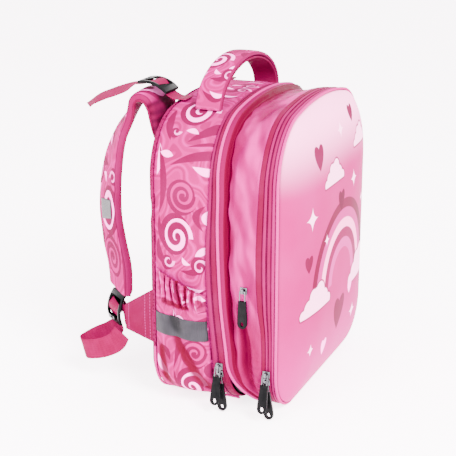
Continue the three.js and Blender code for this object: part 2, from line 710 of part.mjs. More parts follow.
function fromManifold(solid) {
  const mesh = solid.getMesh();
  const geometry = new THREE.BufferGeometry();
  geometry.setAttribute('position', new THREE.BufferAttribute(new Float32Array(mesh.vertProperties), 3));
  geometry.setIndex(new THREE.BufferAttribute(new Uint32Array(mesh.triVerts), 1));
  geometry.computeVertexNormals();
  return geometry;
}

function block(sizeX, sizeY, sizeZ, x, y, z) {
  return new THREE.BoxGeometry(sizeX, sizeY, sizeZ).translate(x, y, z);
}

// Ladder lock: a bowed plate with one window, a sunk middle bar in it, and two holes in the gripping end.
// Its own x runs along it, y across it and z outwards.
function ladderLock() {
  const { length, width, thickness, bow, window, windowHalfWidth } = LADDER;
  const half = length / 2;
  const steps = 6;
  const bowed = (x) => bow * (1 - (x / half) ** 2);
  const xs = Array.from({ length: steps + 1 }, (_, i) => lerp(-half, half, i / steps));
  const side = new THREE.Shape([
    ...xs.map((x) => new THREE.Vector2(x, bowed(x))),
    ...[...xs].reverse().map((x) => new THREE.Vector2(x, bowed(x) - thickness)),
  ]);
  const plate = new THREE.ExtrudeGeometry(side, { depth: width, bevelEnabled: false });
  plate.rotateX(Math.PI / 2).translate(0, width / 2, 0);
  const opening = block(2 * window, 2 * windowHalfWidth, 4 * bow, 0, 0, 0);
  const bar = block(3.6, 2 * windowHalfWidth + 2, 3, 0, 0, 1.1);
  const grip = half - 4;
  const holes = [-5, 5].map((y) => manifold(block(3, 5, 4 * bow, grip, y, 0)));
  const cut = manifold(plate).subtract(manifold(opening)).add(manifold(bar));
  return fromManifold(holes.reduce((solid, hole) => solid.subtract(hole), cut));
}

function placedLock(frame) {
  const basis = new THREE.Matrix4().makeBasis(frame.along, frame.across.clone().negate(), frame.out);
  return ladderLock().applyMatrix4(basis.setPosition(frame.at));
}

// Flat web through rows of a centre and a direction across, smoothed by curves through both.
function web(rows, stepsPerRow) {
  const path = new THREE.CatmullRomCurve3(rows.map((row) => row.centre), false, 'centripetal');
  const sides = new THREE.CatmullRomCurve3(rows.map((row) => row.across), false, 'centripetal');
  const steps = Math.round((rows.length - 1) * stepsPerRow);
  const loops = Array.from({ length: steps + 1 }, (_, i) => {
    const share = i / steps;
    const forward = path.getTangent(share);
    const across = sides.getPoint(share);
    across.addScaledVector(forward, -across.dot(forward)).normalize();
    const out = new THREE.Vector3().crossVectors(across, forward);
    const centre = path.getPoint(share);
    const corners = [[-1, -1], [1, -1], [1, 1], [-1, 1]];
    return corners.map(([a, b]) => centre.clone()
      .addScaledVector(across, (a * WEB.width) / 2)
      .addScaledVector(out, (b * WEB.thickness) / 2));
  });
  return loft(loops);
}

const freeRow = ({ at, across }) => ({ centre: vector(at), across: vector(across).normalize() });
const threadRow = (frame) => ({ along, height }) => (
  { centre: inBuckle(frame, along, height), across: frame.across });

// Load-lifter web: sewn flat on the top edge, through the upper buckle, with a free tail.
function lifterWeb(frame, slack, tail) {
  const { x } = frame.at;
  const slope = Math.asin(x / crownRadius);
  const across = new THREE.Vector3(Math.cos(slope), 0, -Math.sin(slope));
  const lift = GAP / 3 + WEB.thickness / 2;
  const topEdge = heightAbove(-x) + lift;
  const sewn = LIFTER_SEWN.map((y) => ({ centre: new THREE.Vector3(x, y, topEdge), across }));
  const threaded = THREAD_OVER.map(threadRow(frame));
  const rows = [...sewn, ...slack.map(freeRow), ...threaded, ...tail.map(freeRow)];
  return web(rows, 1.5);
}

// Lower web: sewn to the wing, up behind the lower buckle, over its bar and down into a loop.
function lowerWeb() {
  const overBar = THREAD_OVER.filter(({ along }) => along > -3);
  const rows = [
    ...WING_WEB.map(freeRow),
    ...THREAD_BACK.map(threadRow(LOWER)),
    ...overBar.map(threadRow(LOWER)),
    ...TAIL_LOOP.map(freeRow),
  ];
  return web(rows, 1.3);
}

// Wing: a flat triangle with a blunt point, from the back seam out to the lower web.
function wing() {
  const { seam: root, outer, half } = WING;
  const edge = ({ x, y, low, high }) => {
    const corners = [[-half, low], [half, low], [half, high], [-half, high]];
    return corners.map(([off, z]) => new THREE.Vector3(x + off, y, z));
  };
  return loft([edge(root), edge(outer)]);
}

// Shoulder strap: curves of its centre line and of its width and turn, its middle drawn in by a tuck.
const strapEnd = inBuckle(LOWER, -LADDER.length / 2 - STRAP_END.aboveBuckle, -STRAP.pad / 2);
const endTurn = Math.atan2(LOWER.across.y, LOWER.across.x) / DEGREE;
const strapSizes = new THREE.CatmullRomCurve3([
  ...STRAP_ROWS.map((row) => new THREE.Vector3(row.width, row.turn, 0)),
  new THREE.Vector3(STRAP_END.width, endTurn, 0),
], false, 'centripetal');

function strapCurve(tuck, sag) {
  const centres = STRAP_ROWS.map((row, i) => {
    const drawn = tuck * Math.sin((Math.PI * i) / STRAP_ROWS.length);
    return new THREE.Vector3(row.x, row.y - drawn, row.z - sag[i]);
  });
  return new THREE.CatmullRomCurve3([...centres, strapEnd], false, 'centripetal');
}

// Frame of the strap at a share of its length: centre, half width, and directions across and outwards.
function strapFrame(curve, share) {
  const centre = curve.getPoint(share);
  const toBuckle = THREE.MathUtils.smoothstep(share, 0.9, 1);
  const forward = curve.getTangent(share).lerp(LOWER.along, toBuckle).normalize();
  const size = strapSizes.getPoint(share);
  const across = new THREE.Vector3(Math.cos(size.y * DEGREE), Math.sin(size.y * DEGREE), 0);
  across.addScaledVector(forward, -across.dot(forward)).normalize();
  const out = new THREE.Vector3().crossVectors(across, forward).normalize();
  return { centre, forward, across, out, half: size.x / 2 };
}

function strapLoop(frame, section) {
  return section(frame.half).map(([across, off]) => frame.centre.clone()
    .addScaledVector(frame.across, across)
    .addScaledVector(frame.out, off));
}

const STRAP_SHARES = Array.from({ length: STRAP.steps + 1 }, (_, i) => i / STRAP.steps);
const PAD_EDGE = { shoulder: 0.55, crown: 0.92, inset: 4 };

const padSection = (half) => [
  [-half, 0],
  [-half, PAD_EDGE.shoulder * STRAP.pad],
  [-half + PAD_EDGE.inset, PAD_EDGE.crown * STRAP.pad],
  [0, STRAP.pad],
  [half - PAD_EDGE.inset, PAD_EDGE.crown * STRAP.pad],
  [half, PAD_EDGE.shoulder * STRAP.pad],
  [half, 0],
];
const liningSection = (half) => [
  [half, -GAP],
  [-half, -GAP],
  [-half + 2, -STRAP.lining - GAP],
  [half - 2, -STRAP.lining - GAP],
];
const patchSection = (half) => {
  const reach = half - PAD_EDGE.inset;
  const low = PAD_EDGE.crown * STRAP.pad + GAP;
  const high = STRAP.pad + GAP;
  return [[-reach, low], [0, high], [reach, low], [reach, low + 0.6], [0, high + 0.6], [-reach, low + 0.6]];
};

function strapPad(curve) {
  return loft(STRAP_SHARES.map((share) => strapLoop(strapFrame(curve, share), padSection)));
}

// Inner face of the strap, which runs on past the pad in a narrower tip.
function strapLining(curve) {
  const loops = STRAP_SHARES.map((share) => strapLoop(strapFrame(curve, share), liningSection));
  const last = strapFrame(curve, 1);
  const tips = [{ drop: 0.7, narrow: 0.9 }, { drop: 1, narrow: 0.6 }];
  tips.forEach(({ drop, narrow }) => {
    const centre = last.centre.clone().addScaledVector(last.forward, drop * STRAP_END.liningDrop);
    loops.push(strapLoop({ ...last, centre, half: last.half * narrow }, liningSection));
  });
  return loft(loops);
}

function strapReflector(curve) {
  const shares = STRAP_SHARES.filter((share) => share > REFLECTOR.from && share < REFLECTOR.to);
  return loft(shares.map((share) => strapLoop(strapFrame(curve, share), patchSection)));
}

// Zipper pull, made on the side plane: x outwards, y along the depth, z up, and its pivot at the origin.
function sliderBody() {
  const base = GAP - PULL.pivotRise;
  const body = block(SLIDER.depth, SLIDER.width, SLIDER.length, base + SLIDER.depth / 2, 0, SLIDER.middle);
  const { low, high, reach, rim } = ARCH_LOOP;
  const root = base + SLIDER.depth / 2;
  const archShape = new THREE.Shape();
  archShape.moveTo(root, low);
  archShape.lineTo(reach, low);
  archShape.lineTo(reach, high - rim);
  archShape.lineTo(reach - rim, high);
  archShape.lineTo(root, high);
  const eye = new THREE.Path();
  eye.moveTo(base + SLIDER.depth, low + rim);
  eye.lineTo(reach - rim, low + rim);
  eye.lineTo(reach - rim, high - 2 * rim);
  eye.lineTo(base + SLIDER.depth, high - rim);
  archShape.holes.push(eye);
  const arch = new THREE.ExtrudeGeometry(archShape, { depth: ARCH_LOOP.width, bevelEnabled: false });
  arch.rotateX(Math.PI / 2).translate(0, ARCH_LOOP.width / 2, 0);
  return fromManifold(manifold(body).add(manifold(arch)));
}

function pullLink() {
  const { link, linkWidth, wire } = PULL;
  const outer = new THREE.Shape();
  const half = linkWidth / 2;
  outer.moveTo(-half, wire / 2);
  outer.lineTo(-half, -link);
  outer.lineTo(half, -link);
  outer.lineTo(half, wire / 2);
  const inside = new THREE.Path();
  const inner = half - wire;
  inside.moveTo(-inner, -wire / 2);
  inside.lineTo(inner, -wire / 2);
  inside.lineTo(inner, -link + wire);
  inside.lineTo(-inner, -link + wire);
  outer.holes.push(inside);
  return facing(new THREE.ExtrudeGeometry(outer, { depth: wire, bevelEnabled: false }), wire);
}

// Turns a shape drawn across and up into the side plane, with its thickness centred on it.
function facing(geometry, thickness) {
  return geometry.translate(0, 0, -thickness / 2).rotateX(Math.PI / 2).rotateZ(Math.PI / 2);
}

// Rubber drop: narrow at the link, round and holed at its lower end, slotted round the link's lower bar.
function pullTab() {
  const { link, linkWidth, wire } = PULL;
  const top = TAB.slot - link;
  const radius = TAB.width / 2;
  const low = top - TAB.length + radius;
  const neck = linkWidth / 2 + 3 * GAP;
  const drop = new THREE.Shape();
  drop.moveTo(-neck, top);
  drop.lineTo(-neck, top - TAB.neck);
  drop.lineTo(-radius, low + TAB.neck);
  drop.absarc(0, low, radius, Math.PI, 2 * Math.PI, false);
  drop.lineTo(radius, low + TAB.neck);
  drop.lineTo(neck, top - TAB.neck);
  drop.lineTo(neck, top);
  const hole = new THREE.Path();
  hole.absellipse(0, low - 0.4, 2, 2.8, 0, 2 * Math.PI, true);
  drop.holes.push(hole);
  const options = { depth: TAB.thickness, bevelEnabled: false, curveSegments: 5 };
  const body = new THREE.ExtrudeGeometry(drop, options);
  const slot = block(wire + 2 * GAP, linkWidth + 2 * GAP, 2 * (TAB.slot + GAP), 0, 0, top);
  return fromManifold(manifold(facing(body, TAB.thickness)).subtract(manifold(slot)));
}

// Sets one pull on the outline, its x outwards. The slider follows the zipper and the tab hangs down.
function addPull({ name, run, y, seat, lean, off }) {
  const station = outlineAt(run);
  const out = new THREE.Vector3(station.nx, 0, station.nz);
  const up = new THREE.Vector3(-station.nz, 0, station.nx).multiplyScalar(Math.sign(station.nx));
  const basis = new THREE.Matrix4().makeBasis(out, new THREE.Vector3().crossVectors(up, out), up);
  const pivot = place(station, y, seat + PULL.pivotRise);
  const upright = new THREE.Matrix4().makeRotationZ(Math.PI);
  const hanging = new THREE.Matrix4().makeRotationY(off * DEGREE);
  hanging.multiply(new THREE.Matrix4().makeRotationX(lean * DEGREE)).multiply(upright).setPosition(pivot);
  add(`${name}_slider`, sliderBody().applyMatrix4(basis.setPosition(pivot)), SILVER);
  add(`${name}_link`, pullLink().applyMatrix4(hanging), SILVER);
  add(`${name}_tab`, pullTab().applyMatrix4(hanging), PLASTIC);
}

// Assembly
add('base_panel', basePanel(), DARK_CLOTH);
addPair('base_corner', baseCorner(), DARK_CLOTH);
add('back_panel', backPanel(), MESH);
add('rear_gusset', band(ARCH, rearWall), PRINT);
addPair('base_piping', basePiping(), PALE_CORD);
add('rear_zipper_tape', band(ARCH, (run) => tapeSection(rearTape(run))), HOT_PINK);
add('rear_zipper_coil', band(ARCH, (run) => coilSection(rearTape(run))), HOT_PINK);
add('rear_piping', band(ARCH, (run) => cordSection(seam(run, 'section'), PIPING.rise)), PALE_CORD);
add('middle_gusset', band(ARCH, middleWall, { strip: true }), SATIN_PINK);
add('front_zipper_tape', band(ARCH, (run) => tapeSection(frontTape(run))), HOT_PINK);
add('front_zipper_coil', band(ARCH, (run) => coilSection(frontTape(run))), HOT_PINK);
add('front_piping', band(LOOP, () => cordSection(BODY.frontY, 0.2), { closed: true }), PALE_CORD);
add('front_shell', frontShell(), MOULDED);
add('handle_pad', handleStrip(0, HANDLE.pad, HANDLE.width / 2), PRINT);
add('handle_lining', handleStrip(-HANDLE.lining - GAP, -GAP - 1, HANDLE.width / 2 - 1), HOT_PINK);
addPair('pocket', pocket(), PRINT);
addPair('pocket_band', pocketBand(), REFLECTIVE);
const onLeft = (geometry) => geometry;
const onRight = (geometry) => mirrored(geometry).translate(0, 0, -RIGHT_DROP);
const straps = [
  { side: 'left', curve: strapCurve(0, RIGHT_SAG.map(() => 0)), shown: onLeft },
  { side: 'right', curve: strapCurve(RIGHT_TUCK, RIGHT_SAG), shown: onRight },
];
straps.forEach(({ side, curve, shown }) => {
  add(`strap_pad_${side}`, shown(strapPad(curve)), PRINT);
  add(`strap_lining_${side}`, shown(strapLining(curve)), HOT_PINK);
  add(`strap_reflector_${side}`, shown(strapReflector(curve)), REFLECTIVE);
});
add('lifter_web_left', lifterWeb(UPPER, [], LIFTER_TAIL), HOT_PINK);
add('lifter_buckle_left', placedLock(UPPER), PLASTIC);
add('lifter_web_right', mirrored(lifterWeb(UPPER_RIGHT, RIGHT_SLACK, RIGHT_TAIL)), HOT_PINK);
add('lifter_buckle_right', mirrored(placedLock(UPPER_RIGHT)), PLASTIC);
addPair('lower_web', lowerWeb(), HOT_PINK, RIGHT_DROP);
addPair('lower_buckle', placedLock(LOWER), PLASTIC, RIGHT_DROP);
addPair('strap_wing', wing(), HOT_PINK, RIGHT_DROP);
PULLS.forEach(addPull);

export default backpack;
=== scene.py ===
"""Looks of a child's school backpack: its cloth, cords, webbing, moulded front, plastic and metal pieces."""
import json

import bmesh
import bpy
import numpy as np
from mathutils import Matrix, Vector

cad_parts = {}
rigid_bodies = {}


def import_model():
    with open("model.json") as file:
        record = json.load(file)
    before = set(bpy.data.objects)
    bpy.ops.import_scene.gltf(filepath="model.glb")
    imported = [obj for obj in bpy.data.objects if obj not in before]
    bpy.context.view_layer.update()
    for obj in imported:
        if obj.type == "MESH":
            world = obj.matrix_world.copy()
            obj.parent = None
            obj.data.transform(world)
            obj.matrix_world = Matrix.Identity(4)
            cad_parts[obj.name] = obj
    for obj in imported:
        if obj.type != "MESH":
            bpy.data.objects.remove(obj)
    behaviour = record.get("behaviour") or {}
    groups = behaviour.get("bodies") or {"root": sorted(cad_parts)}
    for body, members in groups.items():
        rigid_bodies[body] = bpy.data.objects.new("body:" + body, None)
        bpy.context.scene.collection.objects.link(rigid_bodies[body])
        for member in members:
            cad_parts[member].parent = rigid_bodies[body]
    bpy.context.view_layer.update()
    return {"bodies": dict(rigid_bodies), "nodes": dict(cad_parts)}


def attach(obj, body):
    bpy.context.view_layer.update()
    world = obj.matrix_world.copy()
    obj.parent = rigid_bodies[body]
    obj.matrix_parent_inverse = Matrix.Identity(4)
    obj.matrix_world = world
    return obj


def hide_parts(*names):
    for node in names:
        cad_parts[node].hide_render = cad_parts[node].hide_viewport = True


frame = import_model()

# Sizes and places are in millimetres, and a mesh is in metres.
MM = 0.001
TAU = 2 * np.pi
# points this near each other are merged, in metres
MERGE = 2e-6

# The body's front outline, its depths and the room left beside a seam
WIDTH, HEIGHT, LIFT = 280.0, 350.0, 2.4
BACK_Y, FRONT_Y, SHELL_Y = 75.0, -75.0, -73.0
GAP = 0.3
MIDDLE_Z = (HEIGHT + LIFT) / 2
BOTTOM_R, TOP_R = 50.0, 74.0
BOTTOM_TURN, CROWN_TURN = np.radians(88.0), np.radians(11.75)
SIDE_X = WIDTH / 2
BOTTOM_X, BOTTOM_Z = SIDE_X - BOTTOM_R, BOTTOM_R + LIFT
TOP_X = SIDE_X - TOP_R
CROWN_R = TOP_R + TOP_X / np.sin(CROWN_TURN)
CROWN_Z = HEIGHT - CROWN_R
TOP_Z = CROWN_Z + (CROWN_R - TOP_R) * np.cos(CROWN_TURN)
BOTTOM_RUN = BOTTOM_R * BOTTOM_TURN
SIDE_RUN = BOTTOM_RUN + TOP_Z - BOTTOM_Z
CORNER_RUN = SIDE_RUN + TOP_R * (np.pi / 2 - CROWN_TURN)
HALF_RUN = CORNER_RUN + CROWN_R * CROWN_TURN
FULL_RUN = 2 * HALF_RUN
# the points that cloth and the moulded shell face away from
BAG_MIDDLE, SHELL_MIDDLE = np.array([0.0, 0.0, MIDDLE_Z]), np.array([0.0, -40.0, MIDDLE_Z])

# run from the base seam, rear zipper's edge, edge of the front section, front zipper's edge
REAR_ZIP, SECTION, FRONT_ZIP = 1, 2, 3
SEAMS = np.array([
    (0, -4, -48, -57), (20, -3, -46, -57), (36, -1.5, -40, -57), (50, 0, -31, -57), (62, 1.5, -23.5, -57),
    (76, 2.5, -17.4, -57.5), (100, 4.7, -14, -57.5), (128, 7.4, -10.4, -56), (150, 9.2, -8, -52.5),
    (174, 10.8, -6.4, -50.5), (214, 11.6, -4.6, -49.3), (250, 9, -4, -50.5), (280, 7, -4.8, -52),
    (320, 5.4, -4.4, -53.7), (395, 6, -4.8, -53), (477, 6, -5, -53),
])
# room for the cord on either side of the section's edge, and the rear tape's greatest width
CORD_ROOM, TAPE_WIDTH = 1.8, 20.0
# share across a tape from its rear edge, height of its puffed strips there
REAR_STRIPS = np.array([
    (0, -0.8), (0.06, 0.7), (0.2, 1.3), (0.38, 1.1), (0.45, -0.4), (0.49, -0.4), (0.56, 1.1), (0.74, 1.4),
    (0.92, 0.9), (1, -0.6),
])
FRONT_STRIPS = np.array([
    (0, 0.0), (0.06, 0.5), (0.28, 0.7), (0.32, -0.3), (0.36, 0.9), (0.5, 1.1), (0.545, -0.3), (0.575, -0.3),
    (0.62, 1.1), (0.76, 1.1), (0.8, -0.3), (0.84, 0.9), (0.95, 0.8), (1, -0.4),
])
# the zipper coils: half width, height, rise of the middle, pitch and depth of the teeth
COIL_HALF, COIL_HEIGHT, COIL_RISE, TOOTH_PITCH, TOOTH_DEPTH = 0.95, 0.8, 0.35, 2.7, 0.16
# run, depth and rise of the cord along a side's lower edge
BASE_CORD = np.array([
    (92, 75, 2.3), (72, 75, 2.3), (54, 75, 2.3), (38, 75, 2.3), (26, 74.6, 2.3), (18, 71, 2.3),
    (15.5, 62, 2.1), (15.5, 16, 2.1), (15.5, 3, 2.9), (15.5, -10, 2.9), (19, -18, 2.9), (26, -21, 2.9),
])
SECTION_CORD_R, FRONT_CORD_R, BASE_CORD_R = 1.75, 1.7, 1.6

# run, then the bellows' tuck depth, ridge place and depth, valley place and depth, brow place and depth
FOLDS = np.array([
    (0, 0.5, 0.4, 0, 0.55, 0, 0.8, 0), (36, 1, 0.36, 1, 0.56, 3, 0.88, 0),
    (62, 2, 0.27, 1.5, 0.5, 9, 0.86, 0), (84, 4, 0.27, 2, 0.48, 13, 0.8, 0.4),
    (112, 7, 0.3, 3, 0.48, 13, 0.7, 0.8), (140, 9, 0.36, 4, 0.5, 10, 0.62, 1.4),
    (164, 9, 0.4, 2.4, 0.5, 2, 0.66, 1.4), (190, 9.5, 0.42, 2.4, 0.56, 1.6, 0.8, 0.6),
    (230, 10.5, 0.4, 5, 0.58, 2.2, 0.84, 0), (262, 9.5, 0.46, 3, 0.6, 3.4, 0.82, 0.2),
    (300, 10, 0.42, 4, 0.58, 2.4, 0.84, 0.6), (345, 8, 0.42, 4.2, 0.62, 4, 0.84, 1.6),
    (395, 7, 0.42, 4.6, 0.62, 4.6, 0.86, 2), (477, 7, 0.42, 5.4, 0.62, 5.6, 0.86, 2.6),
])
# the satin's width as cloth, and the rise of the flange along its rear edge
SATIN_WIDTH, FLANGE_RISE = 44.0, 0.6
# shares across the satin: the flange's end, the tuck's bottom, the lip's middle and the ridge's first place
FLANGE_END, TUCK_AT, LIP_AT, RIDGE_FIRST = 0.12, 0.16, 0.235, 0.27
# the two waves of the tuck's lip, in radians a millimetre
LIP_QUICK, LIP_SLOW = 0.21, 0.083
# the puckers beside the satin's fold: depth, pitch, the run of their middle and their reach from it
PUCKER_DEPTH, PUCKER_PITCH, PUCKER_RUN, PUCKER_REACH = 1.3, 9.0, 66.0, 26.0

# share of the front panel's outline, rise in front of its rim
DOME = np.array([(1, 0), (1, 4), (0.965, 9.5), (0.88, 16.5), (0.7, 23), (0.4, 27.2), (0, 28.6)])
# how far its rim lies inside the body's outline
RIM_INSET = 1.9
# the back padding: heights of its pressed channels, its swell and how far in from the edge it is full
CHANNELS = 122.0, 232.0
PAD_SWELL, PAD_SHOULDER = 7.0, 30.0
# the share of the swell that a channel leaves
CHANNEL_SHARE = 0.45
# the handle: half span, rise and depth of its arch
HANDLE_SPAN, HANDLE_RISE, HANDLE_Y = 86.0, 46.0, 29.0

# the pocket's rows: run at its back and front edge, swell and gathers
POCKET_ROWS = np.array([
    (25, 25, 0, 0), (35, 35, 0.42, 0), (47, 46, 0.74, 0), (62, 60, 0.92, 0), (84, 80, 1, 0),
    (113, 108, 1, 0), (137, 132, 0.9, 0.1), (158, 145, 0.72, 0.7), (172, 152, 0.58, 1),
    (188, 162, 0.56, 0.8),
])
# the rows between which its grey band lies, and the band's rise over the cloth
BAND_ROWS, BAND_RISE = (5, 6), 1.1
# its back edge, its least rise and its swell, and the number and depth of its gathers
POCKET_BACK, POCKET_RISE, POCKET_SWELL = 72.6, 0.8, 12.5
GATHERS, GATHER_DEPTH = 7, 2.6
# the run where its creases' way down is nought, and the run from there to one
CREASE_RUN, CREASE_LENGTH = 30.0, 70.0
# its creases: place across, slant, width, start, full, fade and end on the way down, depth, painted shade
CREASES = [
    (1.05, 0.54, 0.1, -0.35, 0.2, 1.0, 1.35, 5.0, 1.0),
    (0.24, 0.12, 0.08, 0.1, 0.4, 0.85, 1.1, 3.0, 0.9),
]
# depths of the band's sag, of the puckered line and of the hem's seam
SAG_DEPTH, LINE_DEPTH, HEM_DEPTH = 4.0, 3.0, 0.9
# the sag's place across at a run, the run over which it would cross the whole pocket, and its width
SAG_AT, SAG_RUN, SAG_SLANT, SAG_WIDTH = 0.4, 136.0, 220.0, 0.13
# the row of the puckered line and its width in rows
LINE_ROW, LINE_WIDTH = 6.75, 0.22
# where the sag along the run, the line across and the hem down the rows start, are full, fade and end
SAG_WINDOW, LINE_WINDOW, HEM_WINDOW = (104, 124, 136, 150), (0.06, 0.2, 0.6, 0.8), (8.5, 8.65, 8.75, 8.9)

# middle line of the shoulder strap, its width and the turn of its face in degrees
STRAP_ROWS = np.array([
    (-60, 93.8, 297, 56, 0), (-60, 98.2, 309, 57, 0), (-60, 101.4, 322, 58, 0), (-60, 104.6, 335, 59, 0),
    (-60, 110.5, 343.5, 60, 0), (-60, 119.5, 345.4, 60, 0), (-60.5, 127.5, 341.5, 60, 1),
    (-61, 133, 331.5, 60, 4), (-63, 140, 316, 60, 10), (-66, 150, 298, 60, 19), (-72, 160.5, 259, 59, 33),
    (-78, 162, 223, 57, 39), (-82, 159.8, 200, 55, 41), (-88, 152.6, 171, 50, 46), (-96, 142, 140, 48, 50),
    (-101.1, 138.4, 115.6, 46, 51.9),
])
# how much further the left strap's rows turn
LEFT_TWIST = np.array([0, 0, 0, 0, 1, 4, 8, 12, 13, 11, 8, 7, 7, 6, 3, 0])
# how far the right strap lies nearer the back, lower and slacker
RIGHT_TUCK, RIGHT_DROP = 9.0, 22.0
RIGHT_SAG = np.array([12, 14, 18, 25, 31, 32, 32, 31, 29, 26, 19, 13, 9, 6, 3, 0])
STRAP_STEPS, STRAP_HEIGHT = 190, 8.4
# kinks of the strap's outer edge: distance along, reach, size outwards
KINKS = [(186, 8, 2.6), (203, 7, -1.2)]
# the slanting cut of the padding's lower end: how far up it reaches, and its size
SLANT_LENGTH, SLANT = 26.0, -9.0
# the inner face: how far it goes past each edge of the strap, and the length and points of its tip
LINING_EDGE, TIP_LENGTH, TIP_STEPS = 1.2, 10.0, 16
# the reflective patch: its steps along the strap, its shift across and its distance from the strap's edges
PATCH_STEPS, PATCH_SHIFT, PATCH_MARGIN = slice(122, 137), 4.0, 11.0

# a ladder buckle's middle, and the directions along, across and out of it
UPPER = np.array([(-62, 105, 359.5), (0, 0.963, 0.27), (1, 0, 0), (0, -0.27, 0.963)])
UPPER_RIGHT = np.array([(-62, 110, 310), (0, 0.9, -0.436), (1, 0, 0), (0, 0.436, 0.9)])
LOWER = np.array([(-107.7, 143.6, 92.7), (-0.145, 0.114, -0.983), (0.617, 0.787, 0), (-0.774, 0.607, 0.184)])
# the webbing's way over the buckle's bar and back through it, along and out
THREAD_OVER = np.array([
    (-22, -5.6), (-19, -4.8), (-13, -2.2), (-7, 1.2), (-2.5, 3.9), (0, 4.4), (2.5, 3.9), (7, 1.2),
    (13, -2.2), (19, -4.8), (24, -7),
])
THREAD_BACK = np.array([(5, -9), (-6, -6.2), (-10, -4.6), (-11.4, -2.6), (-10, -0.6), (-6, 1.6)])
# the webbing's half width, half thickness and the slant of the left upper tail's cut
WEB_HALF, WEB_THICK, TAIL_CUT = 12.5, 0.75, 0.6
# the upper webs' distance from the middle, the depths of their sewn rows and their rise over the top
WEB_X, SEWN_Y, SEWN_RISE = 62.0, (64, 71, 80.5), 0.8
# the upper webs' free rows with the directions across them
LIFTER_TAIL = np.array([
    (-62, 141, 354, 0.96, 0, 0.28), (-62, 155, 348.5, 0.93, 0, 0.37), (-62, 172, 342, 0.93, 0, 0.37),
    (-62, 187, 335, 0.91, 0, 0.41), (-62, 199, 326.5, 0.9, 0, 0.44),
])
RIGHT_SLACK = np.array([(-62, 85.6, 341, 1, 0, 0), (-62, 88.6, 332, 1, 0, 0), (-62, 88.6, 322, 1, 0, 0)])
RIGHT_TAIL = np.array([
    (-62, 138.5, 289.5, 1, 0, 0), (-62, 148, 279, 1, 0, 0), (-62, 156, 265, 1, 0, 0),
    (-62, 161.5, 248, 1, 0, 0),
])
# the lower web's points with the directions across it
WING_WEB = np.array([
    (-118.6, 119, 87, 0, 0.05, 1), (-116.4, 127, 87.5, 0.1, 0.2, 1), (-109, 133.5, 88, 0.45, 0.5, 0.75),
])
TAIL_LOOP = np.array([
    (-104.2, 149.5, 62, 0.5, 0.68, 0.5), (-101, 158, 55, 0.15, 0.4, 0.9), (-100, 171, 48, 0, 0.3, 0.95),
    (-104, 183, 41, 0, 0.28, 0.96), (-114, 187.5, 38, 0, 0.28, 0.96), (-123, 181, 37.5, 0, 0.28, 0.96),
    (-126, 168, 40, 0, 0.28, 0.96), (-126, 150, 46, 0, 0.34, 0.94), (-124, 136, 55, 0.1, 0.6, 0.8),
    (-122.5, 129.5, 66, 0.25, 0.85, 0.45),
])
# the wing: lower corners and heights at its seam and outer edge, its size as cloth, half the way face to face
WING_SEAM, WING_SEAM_HEIGHT = np.array([-131, 83.3, 66.0]), 65.0
WING_OUTER, WING_OUTER_HEIGHT = np.array([-119.5, 125, 72.0]), 31.0
WING_ALONG, WING_ACROSS, WING_THICK = 43.0, 50.0, 1.3
# the share of its length that goes on behind the seam, the size of its bow, the direction from face to face
WING_BEHIND, WING_BOW, WING_OUT = 0.13, 1.2, np.array([-41.7, -11.5, 0.0])


# Measures
def curve(knots, values, at):
    """A smooth line through table rows: a cubic between two rows, with slopes from the rows beside them."""
    knots, values = np.asarray(knots, float), np.asarray(values, float)
    slopes = np.gradient(values, knots, axis=0)
    at = np.clip(at, knots[0], knots[-1])
    i = np.clip(np.searchsorted(knots, at) - 1, 0, len(knots) - 2)
    gap = knots[i + 1] - knots[i]
    t = (at - knots[i]) / gap
    if values.ndim > 1:
        t, gap = t[..., None], gap[..., None]
    keep = (2 * t - 3) * t * t + 1
    leave, arrive = t * (1 - t) * (1 - t) * gap, t * t * (1 - t) * gap
    return keep * values[i] + (1 - keep) * values[i + 1] + leave * slopes[i] - arrive * slopes[i + 1]


def ease(low, high, x):
    """Nought below low, one above high, and a soft S between them."""
    t = np.clip((x - low) / (high - low), 0, 1)
    return t * t * (3 - 2 * t)


def window(x, start, full, fade, end):
    """Nought outside start and end, one between full and fade, and a soft S on either side."""
    return ease(start, full, x) * (1 - ease(fade, end, x))


def hump(x, middle, width):
    """One at the middle, falling off on both sides as a bell curve."""
    return np.exp(-((x - middle) / width) ** 2)


def blunt(wave, power):
    """A sine or cosine drawn out towards its peaks, which squares a circle's outline."""
    return np.sign(wave) * np.abs(wave) ** power


def unit(vectors):
    """The same directions at length one."""
    return vectors / np.maximum(np.linalg.norm(vectors, axis=-1, keepdims=True), 1e-9)


def lengths(path):
    """Distance along a path at each of its points."""
    return np.concatenate([[0.0], np.cumsum(np.linalg.norm(np.diff(path, axis=0), axis=1))])


def from_base(run):
    """The run counted from the nearer end of the outline, so that both sides start at the base."""
    return np.minimum(run, FULL_RUN - run)


def outline(run):
    """Place (x, z) and outward direction (x, z) on the outline.

    It is a bottom arc, a straight side, a corner arc and half a crown, and the same again mirrored.
    """
    half = from_base(run)
    side = np.where(run > HALF_RUN, 1.0, -1.0)
    parts = [half < BOTTOM_RUN, half < SIDE_RUN, half < CORNER_RUN]
    crown = np.pi / 2 - CROWN_TURN + (half - CORNER_RUN) / CROWN_R
    lift = np.select(parts, [half / BOTTOM_R - BOTTOM_TURN, 0 * half, (half - SIDE_RUN) / TOP_R], crown)
    cos, sin = np.cos(lift), np.sin(lift)
    x = np.select(parts, [BOTTOM_X + BOTTOM_R * cos, SIDE_X + 0 * half, TOP_X + TOP_R * cos], CROWN_R * cos)
    heights = [BOTTOM_Z + BOTTOM_R * sin, BOTTOM_Z + half - BOTTOM_RUN, TOP_Z + TOP_R * sin]
    return side * x, np.select(parts, heights, CROWN_Z + CROWN_R * sin), side * cos, sin


def outward(run):
    """Directions straight out of the outline."""
    nx, nz = outline(run)[2:]
    return np.stack([nx, 0 * nx, nz], -1)


